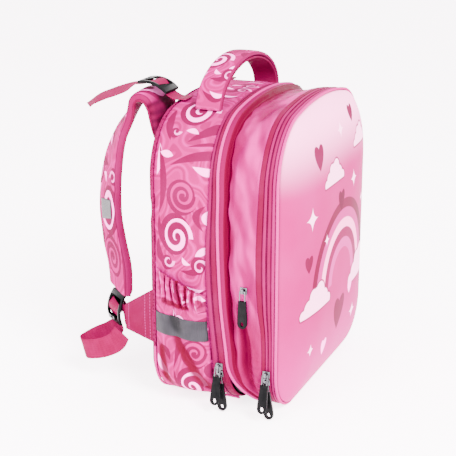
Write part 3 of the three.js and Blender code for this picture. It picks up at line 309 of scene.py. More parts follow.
def place(run, y, rise):
    """Points at a run along the outline, a depth y, and a rise out of the body's surface."""
    run, y, rise = np.broadcast_arrays(np.asarray(run, float), y, rise)
    x, z, nx, nz = outline(run)
    return np.stack([x + nx * rise, y, z + nz * rise], -1)


def seam(run, column):
    """One seam's depth at a run, the same on both sides."""
    return curve(SEAMS[:, 0], SEAMS[:, column], from_base(run))


def crown_height(x):
    """Height of the outline's top at a distance x from the middle."""
    x = np.abs(x)
    corner = TOP_Z + np.sqrt(np.maximum(TOP_R ** 2 - (x - TOP_X) ** 2, 0))
    return np.where(x < CROWN_R * np.sin(CROWN_TURN), CROWN_Z + np.sqrt(CROWN_R ** 2 - x ** 2), corner)


def ripple(a, b, length, seed):
    """Soft uneven waves between -1 and 1: five crossing sines of unlike lengths and directions."""
    rng = np.random.default_rng(seed)
    waves = 5
    total = 0.0
    for k in range(waves):
        turn, shift = rng.uniform(0, np.pi), rng.uniform(0, 6.3)
        pitch = length * (0.6 + 0.35 * k)
        total = total + np.sin((a * np.cos(turn) + b * np.sin(turn)) * TAU / pitch + shift)
    return total / waves


def spread(rows, columns):
    """Runs along the whole outline down a grid's rows, and shares from nought to one across its columns."""
    return np.linspace(0, FULL_RUN, rows)[:, None], np.linspace(0, 1, columns)[None, :]


def measure(a, b):
    """Cloth measures of a grid: one number across and one along."""
    return np.stack(np.broadcast_arrays(np.asarray(a, float), np.asarray(b, float)), -1)


def as_drawn(points):
    """The same points, for the left of the bag."""
    return points


def mirrored(points):
    """The same points on the right of the bag."""
    return points * np.array([-1.0, 1.0, 1.0])


SIDES = {"left": as_drawn, "right": mirrored}


# Pieces
def settle(made, node, body="bag"):
    """A finished object rides on its body and stands for its node, which is hidden."""
    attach(made, body)
    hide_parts(node)
    return made


def shown(name, mesh, look):
    """A new object of a mesh, in one material."""
    made = bpy.data.objects.new(name, mesh)
    bpy.context.collection.objects.link(made)
    mesh.materials.clear()
    mesh.materials.append(look.material)
    return made


def joined_grids(sheets, away):
    """Points in metres, quads and cloth measures of several grids.

    Each grid gives quads between its rows and columns. Where a point is given, they face away from it.
    """
    points, quads, measures, start = [], [], [], 0
    for grid, cloth in sheets:
        rows, columns = grid.shape[:2]
        at = np.arange(rows * columns).reshape(rows, columns) + start
        faces = np.stack([at[:-1, :-1], at[1:, :-1], at[1:, 1:], at[:-1, 1:]], -1).reshape(-1, 4)
        if away is not None:
            normals = np.cross(np.diff(grid, axis=0)[:, :-1], np.diff(grid, axis=1)[:-1])
            if np.sum(normals * (grid[:-1, :-1] - away)) < 0:
                faces = faces[:, ::-1]
        points.append(grid.reshape(-1, 3))
        quads.append(faces)
        measures.append(cloth.reshape(-1, 2))
        start += rows * columns
    return np.concatenate(points) * MM, np.concatenate(quads), np.concatenate(measures)


def piece(name, sheets, look, node, wall=0.0, away=None, fold=None):
    """One object from grids of points in millimetres with their cloth measures.

    Points that meet are merged, so that seams and ends close. Open cloth faces away from a point and gets
    its thickness inwards. A closed solid has no such point, and its faces are turned outwards.
    """
    points, quads, measures = joined_grids(sheets, away)
    mesh = bpy.data.meshes.new(name)
    mesh.vertices.add(len(points))
    mesh.vertices.foreach_set("co", points.ravel())
    mesh.loops.add(quads.size)
    mesh.loops.foreach_set("vertex_index", quads.ravel().astype(np.int32))
    mesh.polygons.add(len(quads))
    mesh.polygons.foreach_set("loop_start", np.arange(0, quads.size, 4, dtype=np.int32))
    mesh.uv_layers.new(name="cloth").uv.foreach_set("vector", measures[quads.ravel()].ravel())
    # the fold attribute carries how much painted shade a fold gets; below nought it is a painted highlight
    if fold is not None:
        mesh.attributes.new("fold", "FLOAT", "POINT").data.foreach_set("value", fold.ravel())
    mesh.update(calc_edges=True)
    solid = bmesh.new()
    solid.from_mesh(mesh)
    bmesh.ops.remove_doubles(solid, verts=solid.verts, dist=MERGE)
    if away is None:
        bmesh.ops.recalc_face_normals(solid, faces=solid.faces)
    solid.to_mesh(mesh)
    solid.free()
    mesh.shade_smooth()
    made = shown(name, mesh, look)
    if wall:
        thick = made.modifiers.new("thickness", "SOLIDIFY")
        thick.thickness, thick.offset = wall * MM, -1.0
    return settle(made, node)


def rounded(node, look, width, body="bag"):
    """A finer version of a hard or board-like node: its own solid with every edge rounded over."""
    flat, sharp = 0.02, np.radians(32)
    mesh = frame["nodes"][node].data.copy()
    mesh.name = node + "_finished"
    solid = bmesh.new()
    solid.from_mesh(mesh)
    bmesh.ops.remove_doubles(solid, verts=solid.verts, dist=MERGE)
    bmesh.ops.dissolve_limit(solid, angle_limit=flat, verts=solid.verts, edges=solid.edges)
    bmesh.ops.recalc_face_normals(solid, faces=solid.faces)
    solid.to_mesh(mesh)
    solid.free()
    mesh.shade_smooth()
    made = shown(node + "_finished", mesh, look)
    edge = made.modifiers.new("rounded edges", "BEVEL")
    edge.width, edge.segments = width * MM, 3
    edge.limit_method, edge.angle_limit = "ANGLE", sharp
    edge.harden_normals = True
    return settle(made, node, body)


def sweep(path, across, section, closed_path=False):
    """A closed section carried along a path: a grid of points with its cloth measures.

    At each path point the section's first number goes along "across" and its second along across x forward.
    The section may be one list of points or one list for each path point. The ends of an open path are drawn
    to a point, so that they close.
    """
    forward = unit(np.gradient(path, axis=0))
    if closed_path:
        forward[0] = forward[-1] = unit(path[1] - path[-2])
    across = unit(across - forward * np.sum(across * forward, -1, keepdims=True))
    out = np.cross(across, forward)
    section = np.broadcast_to(section, (len(path),) + section.shape[-2:])
    grid = path[:, None] + section[..., :1] * across[:, None] + section[..., 1:] * out[:, None]
    around, along = lengths(section[len(path) // 2]), lengths(path)
    if not closed_path:
        ends = [np.broadcast_to(grid[k].mean(0), grid[k].shape)[None] for k in (0, -1)]
        grid = np.concatenate([ends[0], grid, ends[1]])
        along = np.concatenate([along[:1], along, along[-1:]])
    return grid, measure(around[None, :], along[:, None])


def round_section(radius, sides):
    """A circle's points, closed."""
    turn = np.linspace(0, TAU, sides + 1)
    return radius * np.stack([np.cos(turn), np.sin(turn)], -1)


def flat_section(half, low, high, edge, sides):
    """A flat strip's closed outline with soft corners: a superellipse about its middle."""
    turn = np.linspace(0, TAU, sides + 1)
    x = blunt(np.cos(turn), edge) * np.asarray(half, float)[..., None]
    z = (high + low) / 2 + blunt(np.sin(turn), edge) * (high - low) / 2
    return np.stack(np.broadcast_arrays(x, z), -1)


# Shader values
def operation(kind):
    """A method that puts a value, and what is given with it, through one Math node."""
    def through_node(self, *others):
        return self.look.node("ShaderNodeMath", {"operation": kind}, dict(enumerate((self, *others))))
    return through_node


class Value:
    """A number, vector or colour in a material, so that its maths reads as plain arithmetic."""

    __add__ = __radd__ = operation("ADD")
    __sub__ = operation("SUBTRACT")
    __mul__ = __rmul__ = operation("MULTIPLY")
    __truediv__ = operation("DIVIDE")
    __pow__ = operation("POWER")
    sin = operation("SINE")
    abs = operation("ABSOLUTE")
    fract = operation("FRACT")
    least = operation("MINIMUM")
    most = operation("MAXIMUM")
    angle_over = operation("ARCTAN2")

    def __init__(self, look, socket):
        self.look, self.socket = look, socket

    def __rsub__(self, other):
        return self * -1 + other

    def step(self, low, high):
        """Nought below low, one above high, soft between."""
        return self.look.node(
            "ShaderNodeMapRange", {"interpolation_type": "SMOOTHSTEP"},
            {0: self, 1: low, 2: high, 3: 0.0, 4: 1.0})

    def within(self, low, high, soft):
        """One between low and high, with soft edges."""
        return self.step(low - soft, low + soft) * (1 - self.step(high - soft, high + soft))

    def wave(self, length):
        """A sine of one length, between -1 and 1."""
        return (self * (TAU / length)).sin()

    def share(self):
        """A wave between -1 and 1 as a share between nought and one."""
        return self * 0.5 + 0.5


class Look:
    """One material: a shader with its constants, and nodes that feed what varies."""

    def __init__(self, name, **constants):
        self.material = bpy.data.materials.new(name)
        self.material.use_nodes = True
        self.tree = self.material.node_tree
        self.shader = next(n for n in self.tree.nodes if n.type == "BSDF_PRINCIPLED")
        for key, value in constants.items():
            self.shader.inputs[key.replace("_", " ")].default_value = value

    def node(self, kind, settings=(), inputs=(), output=0):
        """A node: its settings first, then its sockets, each a constant or a value."""
        made = self.tree.nodes.new(kind)
        for key, value in dict(settings).items():
            setattr(made, key, value)
        for key, value in dict(inputs).items():
            if isinstance(value, Value):
                self.tree.links.new(value.socket, made.inputs[key])
            else:
                made.inputs[key].default_value = value
        return Value(self, made.outputs[output])

    def vector(self, kind, *values, output="Vector"):
        """A vector from vectors."""
        return self.node("ShaderNodeVectorMath", {"operation": kind}, dict(enumerate(values)), output)

    def number(self, kind, *values):
        """A number from vectors, such as a length or a distance."""
        return self.vector(kind, *values, output="Value")

    def split(self, vector, axis):
        """One of a vector's numbers."""
        return self.node("ShaderNodeSeparateXYZ", {}, {0: vector}, axis)

    def spot(self, across, along):
        """A place on the cloth as a vector."""
        return self.node("ShaderNodeCombineXYZ", {}, {0: across, 1: along})

    def mix(self, share, a, b):
        """Colour a turning to colour b by a share."""
        return self.node("ShaderNodeMix", {"data_type": "RGBA"}, {0: share, 6: a, 7: b}, 2)

    def cloth(self):
        """Cloth measures, across and along, as the piece's mesh carries them."""
        uv = self.node("ShaderNodeUVMap", {"uv_map": "cloth"})
        return self.split(uv, "X"), self.split(uv, "Y")

    def fold(self):
        """How deep a fold is, or how much painted shade it gets, as the piece's mesh carries it."""
        return self.node("ShaderNodeAttribute", {"attribute_name": "fold"}, {}, "Fac")

    def body(self):
        """The place in the bag's own frame, in metres."""
        return self.node("ShaderNodeTexCoord", {}, {}, "Object")

    def noise(self, vector, scale, detail=3.0, rough=0.55):
        """Uneven cloudy values about a half."""
        sockets = {"Vector": vector, "Scale": scale, "Detail": detail, "Roughness": rough}
        return self.node("ShaderNodeTexNoise", {}, sockets)

    def weave(self, across, along, pitch):
        """Threads over and under: two crossed waves of one pitch."""
        return across.wave(pitch) * along.wave(pitch)

    def stitches(self, across, along, at, length=3.2, half=0.42):
        """A row of stitches at one place across: one on the thread, nought off it."""
        dash = (along * (1 / length)).fract().within(0.1, 0.78, 0.06)
        return (across - at).abs().step(half + 0.25, half - 0.1) * dash

    def feed(self, name, value):
        """Links a value to one of the shader's sockets."""
        self.tree.links.new(value.socket, self.shader.inputs[name])

    def finish(self, colour, roughness, height, depth):
        """Feeds the colour, the roughness and a fine relief: a height times a depth in millimetres."""
        sockets = {"Strength": 1.0, "Distance": depth * MM, "Height": height}
        self.feed("Base Color", colour)
        self.feed("Roughness", roughness)
        self.feed("Normal", self.node("ShaderNodeBump", {}, sockets, "Normal"))
        return self


# Colours
def tint(red, green, blue):
    """A colour from its screen numbers 0 to 255, by the usual curve from screen to light."""
    c = np.array([red, green, blue]) / 255
    c = np.where(c <= 0.04045, c / 12.92, ((c + 0.055) / 1.055) ** 2.4)
    return (*c, 1.0)


def between(a, b, share):
    """A colour a share of the way from a to b."""
    return tuple(np.array(a) * (1 - share) + np.array(b) * share)


HOT, DEEP, INK = tint(96, 0, 51), tint(52, 0, 21), tint(84, 0, 41)
PALE, MILK, PIPING, SHADE = tint(190, 58, 140), tint(241, 115, 195), tint(158, 24, 102), tint(38, 0, 13)
LINING_PINK, CURL_PINK, ROSE = tint(86, 0, 38), tint(142, 0, 86), tint(78, 0, 35)
SOFT_SHINE = {
    "Specular_IOR_Level": 0.015, "Sheen_Weight": 0.06, "Sheen_Roughness": 0.4,
    "Sheen_Tint": tint(255, 50, 153),
}

# The swirl print, in millimetres of cloth: where it starts along, its repeat and the softness of its edges
PRINT_START, PRINT_REPEAT, PRINT_EDGE = 152.0, 268.0, 0.5
# the ground's contour bands: from and to, tone
GROUND = tint(140, 0, 85)
CONTOURS = [(0.04, 0.3, tint(128, 0, 75)), (0.4, 0.54, tint(154, 8, 100)), (0.64, 0.86, tint(116, 0, 65))]
# curls: across, along, stretch along, pitch, full turns, hand, start, whiteness of the band between
CURLS = [
    (36, 383, 1.2, 11.0, 2, 1, 0.35, 1.0), (38, 277, 1.1, 8.2, 2, -1, 0.1, 0.0),
    (46, 227, 1.28, 10.0, 2, 1, 0.5, 1.0), (54, 350, 1.0, 7.5, 1, -1, 0.6, 0.6),
    (57, 198, 1.15, 7.0, 1, -1, 0.3, 0.6), (18, 194, 1.1, 7.5, 1, 1, 0.1, 0.6),
]
# leaf strokes: tips across and along, bow, half width, tone
STROKES = [
    (71, 334, 70, 298, -3, 2.8, MILK), (71, 333, 69, 252, -8, 4.0, INK), (38, 338, -36, 372, -5, 7.0, INK),
    (38, 332, -20, 339, -2, 2.2, INK), (55, 310, -30, 320, -9, 5.4, INK), (68, 324, 52, 321, 0, 4.0, MILK),
    (27, 311, -8, 309, 4, 4.6, MILK), (43, 352, 27, 349, -2, 3.2, MILK), (10, 268, 13, 237, 11, 4.6, INK),
    (8, 262, 9, 244, 4, 3.0, MILK), (68, 252, 50, 203, 6, 3.4, INK), (69, 224, 55, 188, 6, 4.0, INK),
    (43, 188, 13, 203, 8, 4.2, INK), (24, 207, 7, 219, 0, 4.0, MILK), (40, 204, 30, 196, 3, 2.6, MILK),
    (47, 171, 8, 170, 9, 3.8, INK), (36, 170, 14, 168, 4, 2.6, MILK), (66, 382, 59, 338, 3, 4.6, INK),
    (95, 266, 77, 240, 4, 4.6, MILK), (93, 242, 75, 212, -5, 5.2, INK), (92, 216, 74, 192, 5, 4.4, MILK),
    (96, 208, 84, 178, 3, 4.2, INK), (90, 282, 74, 262, -4, 4.6, INK),
]

# The front panel's design, in millimetres across and up: the rainbow's middle, its ring width and soft edge
RAINBOW_X, RAINBOW_Z, RING, FRONT_EDGE = 10.0, 128.0, 12.0, 0.6
# the rainbow's rings: outer radius, tone
RAINBOW = [
    (96, ROSE), (84, tint(140, 20, 92)), (72, tint(214, 110, 160)), (60, tint(98, 0, 52)),
    (48, tint(152, 34, 105)),
]
# clouds: middle across and up, size
CLOUDS = [(-72, 124, 1.0), (86, 120, 1.15), (-20, 262, 0.8), (84, 286, 0.7)]
# a cloud's middle puff and its flat foot, and its other puffs: shift across and up, radius
PUFF_R, CLOUD_FOOT = 17, 13
PUFFS = [(-20, -5, 12), (20, -4, 13), (9, 9, 12), (-9, 7, 10), (34, -9, 8), (-33, -9, 7)]
# stars: middle across and up, reach of the points, and the power that draws in their sides
STARS = [
    (-88, 226, 15), (52, 240, 12), (12, 308, 11), (98, 204, 9), (-46, 190, 8), (70, 62, 12), (-84, 66, 9),
]
STAR_POWER = 0.55
# hearts: middle across and up, size, tone
HEARTS = [
    (-64, 288, 13, ROSE), (58, 316, 9, ROSE), (10, 76, 19, ROSE), (-36, 50, 9, MILK), (48, 100, 8, MILK),
    (-94, 172, 9, ROSE), (4, 222, 11, tint(66, 0, 28)),
]


# Looks
def leaf_stroke(look, spot, ground, stroke):
    """A leaf stroke on the ground: a bowed line, widest half way, that tapers to both tips as a parabola."""
    x0, y0, x1, y1, bow, half, tone = stroke
    way = np.array([x1 - x0, y1 - y0], float)
    size = np.linalg.norm(way)
    way /= size
    off = look.vector("SUBTRACT", spot, (x0, y0, 0))
    t = look.number("DOT_PRODUCT", off, (*(way / size), 0))
    aside = look.number("DOT_PRODUCT", off, (-way[1], way[0], 0))
    belly = t * (1 - t) * 4
    inside = belly * half - (aside - belly * bow).abs()
    return look.mix(inside.step(-PRINT_EDGE, PRINT_EDGE), ground, tone)


def curl(look, spot, ground, values):
    """A curl on the ground: a spiral band, where distance less angle counts the turns.

    The hot band takes a share of each turn that swells and thins with the angle. Its last turn tapers off,
    and its heart is filled.
    """
    x, y, stretch, pitch, turns, hand, start, white = values
    off = look.vector("MULTIPLY", look.vector("SUBTRACT", spot, (x, y, 0)), (1, 1 / stretch, 0))
    far = look.number("LENGTH", off) / pitch
    angle = look.split(off, "Y").angle_over(look.split(off, "X")) * (hand / TAU)
    wind = far - angle + start
    soft = 0.6 / pitch
    taper = 1 - wind.step(turns - 0.01, turns + 0.01) * angle.step(0.15, 0.5)
    hot = taper * ((angle * TAU + TAU / 8).sin() * 0.16 + 0.58)
    tone = look.mix((hot - wind.fract()).step(-soft, soft), between(CURL_PINK, MILK, white), INK)
    tone = look.mix(far.step(0.34, 0.2), tone, INK)
    return look.mix((wind - hot).step(turns - soft, turns - 2 * soft), ground, tone)


def swirls(look, across, along):
    """The cloth's swirl print, charted in millimetres and repeated along.

    Soft contour bands flow over the ground. Leaf strokes and then curls lie on them.
    """
    along = ((along - PRINT_START) / PRINT_REPEAT).fract() * PRINT_REPEAT + PRINT_START
    spot = look.spot(across, along)
    flow = (look.noise(spot, scale=0.03, detail=0.0) * 5).fract()
    ground = GROUND
    for low, high, tone in CONTOURS:
        ground = look.mix(flow.within(low, high, 0.03), ground, tone)
    for stroke in STROKES:
        ground = leaf_stroke(look, spot, ground, stroke)
    for values in CURLS:
        ground = curl(look, spot, ground, values)
    return ground


def woven(look, across, along, colour, pitch, grain, stitches=()):
    """Finish of a plain cloth: thread grain, soft colour drift, rows of stitches and a low relief."""
    drift = look.noise(look.spot(across, along), scale=0.02, detail=4.0)
    thread = look.weave(across, along, pitch)
    colour = look.mix(drift.step(0.3, 0.75) * 0.06, colour, PALE)
    colour = look.mix(thread.share() * 0.1, colour, SHADE)
    height = thread * grain + drift * 0.8
    for at in stitches:
        row = look.stitches(across, along, at)
        colour = look.mix(row * 0.3, colour, PALE)
        height = height + row * 0.5 - (across - at).abs().step(1.6, 0.2) * 0.5
    return look.finish(colour, drift * 0.2 + 0.55, height, depth=0.6)


def printed_look(name, shift=(0.0, 0.0), scale=1.0, edge=None, root=0.0, paint_fold_light=False):
    """Printed cloth: the swirl print with thread grain.

    It may have hot pink edges beyond two places across, and painted shade, deep crimson with ribs, over
    its root up to a place along. Where the mesh folds it may have painted shade in the creases and painted
    highlights on the ridges.
    """
    look = Look(name, **SOFT_SHINE)
    across, along = look.cloth()
    colour = swirls(look, across * scale + shift[0], along * scale + shift[1])
    if edge:
        colour = look.mix(across.within(*edge, 0.5), HOT, colour)
        seam_line = (across - edge[1]).abs().step(0.9, 0.4)
        colour = look.mix(seam_line * 0.6, colour, SHADE)
    # painted shade: the root under the strap's arch is darkened to deep crimson with ribs
    if root:
        rib = look.mix(along.wave(9).share(), tint(50, 0, 19), tint(72, 0, 31))
        colour = look.mix(along.step(root + 4, root - 4), colour, rib)
    # painted shade in the creases and the gathers' hollows, and painted highlights on the gathers' crests
    if paint_fold_light:
        fold = look.fold()
        colour = look.mix(fold.step(0.12, 0.7) * 0.95, colour, tint(68, 0, 15))
        puff = look.noise(look.spot(across, along), scale=0.11, detail=1.0).step(0.42, 0.62)
        colour = look.mix(fold.step(-0.2, -0.8) * puff * 0.42, colour, MILK)
    return woven(look, across, along, colour, pitch=1.4, grain=0.08)


def plain_look(name, colour, pitch, grain, stitches=()):
    """One-colour cloth with its thread grain and rows of stitches."""
    look = Look(name, **SOFT_SHINE)
    return woven(look, *look.cloth(), colour, pitch, grain, stitches)


def tape_look(name, lines, tones):
    """Zipper tape: bands of pink across its width, thin dark lines between them and a fine rib along it."""
    look = Look(name, **SOFT_SHINE)
    across, along = look.cloth()
    colour, dark = tones[0], 0.0
    for line, tone in zip(lines, tones[1:]):
        colour = look.mix(across.step(line - 0.01, line + 0.01), colour, tone)
        dark = (across - line).abs().step(0.05, 0.02) + dark
    rib = along.wave(1.6)
    drift = look.noise(look.body(), scale=24.0)
    colour = look.mix(dark.least(1.0) * 0.75, colour, SHADE)
    colour = look.mix(rib.share() * 0.1, colour, DEEP)
    colour = look.mix(drift.step(0.35, 0.75) * 0.05, colour, PALE)
    return look.finish(colour, drift * 0.2 + 0.45, rib * 0.12 - dark * 0.6 + drift * 0.4, depth=0.6)


def satin_look():
    """Bellows satin: light pink, with painted crimson shade down in the folds and in the tuck, painted light
    and shade along its long soft creases, and a smooth sheen.
    """
    look = Look("satin", Specular_IOR_Level=0.02, Specular_Tint=tint(255, 90, 185))
    across, along = look.cloth()
    stretched = look.spot(across * 0.9 + along * 0.25, along * 0.28)
    # painted light and shade: the tone follows the creases' relief, darker in hollows and lighter on tops
    crease = look.noise(stretched, scale=0.05, detail=1.5, rough=0.5)
    colour = look.mix(crease.step(0.38, 0.64), tint(112, 0, 65), tint(160, 20, 105))
    colour = look.mix(along.step(172, 128) * 0.75, colour, tint(102, 0, 50))
    # painted shade down in the deep folds
    colour = look.mix(look.fold().step(2.5, 8.0), colour, tint(88, 0, 39))
    # painted shade in the tuck's recess, along the lip's wavy line
    lip = 9.6 + (along * LIP_QUICK).sin() * 0.8 + (along * LIP_SLOW + 1.0).sin() * 1.1
    colour = look.mix((across - lip).step(0.5, -0.5), colour, tint(76, 0, 29))
    colour = look.mix(across.step(5.4, 4.8), colour, HOT)
    thread = look.weave(across, along, 1.1)
    colour = look.mix(thread.share() * 0.05, colour, DEEP)
    return look.finish(colour, crease * 0.25 + 0.26, crease * 5.0 + thread * 0.05, depth=1.0)


def rainbow(look, here, colour):
    """Rings of one width about a middle, cut off level with it."""
    far = look.number("DISTANCE", here, (RAINBOW_X, 0, RAINBOW_Z))
    above = look.split(here, "Z").step(RAINBOW_Z - 1, RAINBOW_Z + 1)
    for radius, tone in RAINBOW:
        ring = far.within(radius - RING, radius, FRONT_EDGE)
        colour = look.mix(ring * above, colour, tone)
    return colour


def clouds(look, here, colour):
    """Clouds: the nearest of several circles, cut off flat below, with a dark line round a pale middle."""
    for x, z, size in CLOUDS:
        puff = look.number("DISTANCE", here, (x, 0, z)) - PUFF_R * size
        for dx, dz, radius in PUFFS:
            far = look.number("DISTANCE", here, (x + dx * size, 0, z + dz * size))
            puff = puff.least(far - radius * size)
        puff = puff.most(z - CLOUD_FOOT * size - look.split(here, "Z"))
        colour = look.mix(puff.step(2.6, 1.4), colour, tint(96, 0, 50))
        colour = look.mix(puff.step(FRONT_EDGE, -FRONT_EDGE), colour, tint(226, 146, 188))
    return colour


def stars(look, here, colour):
    """Stars with four points: where the powers of the distances across and up add to less than a limit."""
    for x, z, size in STARS:
        off = look.vector("ABSOLUTE", look.vector("SUBTRACT", here, (x, 0, z)))
        star = look.split(off, "X") ** STAR_POWER + look.split(off, "Z") ** STAR_POWER
        limit = size ** STAR_POWER
        colour = look.mix(star.step(limit + 0.12, limit - 0.12), colour, tint(232, 156, 196))
    return colour


def hearts(look, here, colour):
    """Hearts: a circle whose height is sheared up by a power of the distance from its middle line."""
    for x, z, size, tone in HEARTS:
        off = look.vector("DIVIDE", look.vector("SUBTRACT", here, (x, 0, z)), (size, 1, size))
        across = look.split(off, "X")
        lobe = look.split(off, "Z") - across.abs() ** 0.72 * 0.78
        colour = look.mix((across * across + lobe * lobe).step(1.08, 0.94), colour, tone)
    return colour


def front_look():
    """Front panel: pale at the top and pinker below, with a rainbow, clouds, stars and hearts in pinks."""
    look = Look("moulded front", Specular_IOR_Level=0.004, Specular_Tint=tint(255, 120, 207))
    here = look.vector("MULTIPLY", look.body(), (1 / MM, 0, 1 / MM))
    up = look.split(here, "Z")
    colour = look.mix(up.step(254, 336), tint(132, 0, 78), tint(226, 132, 180))
    colour = look.mix(up.step(120, 10), colour, tint(152, 22, 100))
    for design in (rainbow, clouds, stars, hearts):
        colour = design(look, here, colour)
    sheen = look.noise(look.body(), scale=7.0)
    grain = look.noise(look.body(), scale=900.0, detail=1.0)
    colour = look.mix(sheen.step(0.35, 0.7) * 0.04, colour, MILK)
    return look.finish(colour, sheen * 0.16 + 0.3, grain * 0.05 + sheen * 0.6, depth=0.6)


def mesh_look():
    """Spacer mesh of the back: small open cells in hot pink over a darker ground."""
    look = Look("mesh padding", **SOFT_SHINE)
    cells = look.node(
        "ShaderNodeTexVoronoi", {"feature": "DISTANCE_TO_EDGE"}, {"Vector": look.body(), "Scale": 260.0},
        "Distance")
    drift = look.noise(look.body(), scale=30.0)
    colour = look.mix(cells.step(0.12, 0.3), HOT, tint(64, 0, 27))
    colour = look.mix(drift.step(0.3, 0.7) * 0.1, colour, tint(126, 0, 74))
    return look.finish(colour, drift * 0.2 + 0.55, cells.step(0.3, 0.1) * 0.6 + drift * 0.5, depth=0.9)


def dark_look():
    """Dark coarse cloth of the base."""
    look = Look("dark base cloth", Specular_IOR_Level=0.15)
    here = look.vector("MULTIPLY", look.body(), (1 / MM, 1 / MM, 1 / MM))
    thread = look.weave(look.split(here, "X"), look.split(here, "Y"), 1.6)
    drift = look.noise(look.body(), scale=40.0)
    colour = look.mix(thread * 0.3 + drift * 0.5, tint(8, 6, 9), tint(22, 16, 20))
    return look.finish(colour, drift * 0.2 + 0.6, thread * 0.2 + drift * 0.4, depth=0.6)


def silver_tape_look():
    """Grey reflective band: fine glass-bead grain and a woven edge, with painted shade where it sags."""
    look = Look("reflective band", Specular_IOR_Level=0.1)
    across, along = look.cloth()
    spot = look.spot(across, along)
    bead = look.noise(spot, scale=0.9, detail=2.0)
    wear = look.noise(spot, scale=0.03)
    rib = along.wave(1.8)
    colour = look.mix(wear.step(0.3, 0.7), tint(23, 21, 25), tint(40, 38, 43))
    colour = look.mix(rib.share() * 0.16, colour, tint(17, 16, 18))
    # painted shade where the band sags
    colour = look.mix(look.fold().step(0.2, 1.0) * 0.85, colour, tint(7, 6, 8))
    look.feed("Metallic", wear * 0.2)
    return look.finish(colour, bead * 0.25 + 0.25, bead * 0.15 + rib * 0.1 + wear * 0.8, depth=0.6)


def webbing_look():
    """Pink webbing: herringbone rows along the strap, with a dark line between two rows."""
    look = Look("pink webbing", **SOFT_SHINE)
    across, along = look.cloth()
    row = (across * (1 / 2.6)).fract()
    slant = ((row - 0.5).abs() * 4 + along * (TAU / 4.8)).sin()
    line = row.within(0.0, 0.1, 0.05) * 0.3
    drift = look.noise(look.spot(across, along), scale=0.05)
    colour = look.mix(drift.step(0.3, 0.7), tint(92, 0, 41), tint(104, 0, 51))
    colour = look.mix(slant.share() * 0.2, colour, tint(80, 0, 34))
    colour = look.mix(line, colour, DEEP)
    return look.finish(colour, drift * 0.2 + 0.4, slant * 0.15 - line, depth=0.6)


def hard_look(name, colour, worn, rough, metallic=0.0, coat=0.0, grain=160.0):
    """Moulded or cast piece: one colour with faint wear, a fine grain and an even gloss."""
    look = Look(name, Metallic=metallic, Coat_Weight=coat, Coat_Roughness=0.08, Specular_IOR_Level=0.04)
    speck = look.noise(look.body(), grain)
    colour = look.mix(speck.step(0.4, 0.75), colour, worn)
    return look.finish(colour, speck * 0.16 + (rough - 0.06), speck * 0.12, depth=0.3)


PRINT = printed_look("printed cloth")
# the pocket cloth gets painted shade in its folds and painted highlights on its gathers
HEM_PRINT = printed_look("printed pocket cloth", (15.0, 169.5), 1.15, paint_fold_light=True)
# its first 46 mm along are painted shade, deep crimson with ribs
STRAP_PRINT = printed_look("printed strap cloth", (10.0, 60.0), 0.8, edge=(7.5, 64.0), root=46.0)
HANDLE_PRINT = printed_look("printed handle cloth", (16.0, 150.0), 1.1, edge=(3.0, 33.0))
LINING = plain_look("hot pink strap lining", LINING_PINK, pitch=2.6, grain=0.3)
CORD = plain_look("pale cord", PIPING, pitch=1.6, grain=0.2)
WING_ROWS = 4.0, 12.0, 38.0
WING_CLOTH = plain_look("hot pink wing cloth", LINING_PINK, pitch=1.4, grain=0.14, stitches=WING_ROWS)
REAR_TAPE = tape_look("rear zipper tape", (0.47,), (HOT, tint(82, 0, 36)))
# its first, darker band is painted shade on the flange, which turns inwards
FRONT_TAPE = tape_look(
    "front zipper tape", (0.33, 0.56, 0.8),
    (tint(82, 0, 34), tint(108, 2, 59), tint(101, 0, 52), tint(120, 6, 71)))
COIL = plain_look("zipper coil", tint(58, 0, 24), pitch=1.4, grain=0.5)
SATIN = satin_look()
FRONT = front_look()
MESH = mesh_look()
DARK = dark_look()
SILVER_TAPE = silver_tape_look()
WEBBING = webbing_look()
PLASTIC = hard_look("black plastic", tint(3, 3, 4), tint(7, 7, 8), rough=0.22, coat=0.035)
RUBBER = hard_look("black rubber", tint(4, 4, 5), tint(9, 9, 10), rough=0.32, coat=0.01)
SILVER = hard_look("silver metal", tint(80, 80, 84), tint(92, 92, 96), rough=0.24, metallic=1.0, grain=60.0)


# Rear section
def rear_wall():
    """Printed band of the rear section, from the zipper's seam to the back edge.

    It rolls under at both seams and ripples faintly above the pockets.
    """
    run, share = spread(rows=520, columns=46)
    front = seam(run, REAR_ZIP) + GAP
    y = front + (BACK_Y - GAP - front) * share
    half = from_base(run)
    front_roll = 1.6 * (1 - ease(0, 0.07, share))
    back_roll = 2.0 * (1 - ease(0, 0.08, 1 - share))
    waves = 0.55 * ripple(run, y, length=60, seed=3) * ease(185, 240, half)
    points = place(run, y, waves - front_roll - back_roll)
    return piece(
        "rear_wall_cloth", [(points, measure(y, half))], PRINT, "rear_gusset", wall=2.2,
        away=BAG_MIDDLE)


# Zippers
def rear_tape_edges(run):
    """Rear and front edge of the rear tape, which ends behind the section's cord or at its full width."""
    rear = seam(run, REAR_ZIP)
    return rear, np.maximum(seam(run, SECTION) + CORD_ROOM, rear - TAPE_WIDTH)


def front_tape_edges(run):
    """Rear and front edge of the front tape, which ends at the shell's rim."""
    return seam(run, FRONT_ZIP) - GAP, SHELL_Y + GAP + 0 * run


def zipper_tape(name, edges, strips, look, node):
    """Tape band between its edges, puffed across by a table of strips."""
    run, share = spread(rows=460, columns=34)
    rear, front = edges(run)
    rise = np.interp(share, strips[:, 0], strips[:, 1]) + 0 * run
    points = place(run, rear + (front - rear) * share, rise)
    return piece(name, [(points, measure(share, run))], look, node, wall=1.4, away=BAG_MIDDLE)


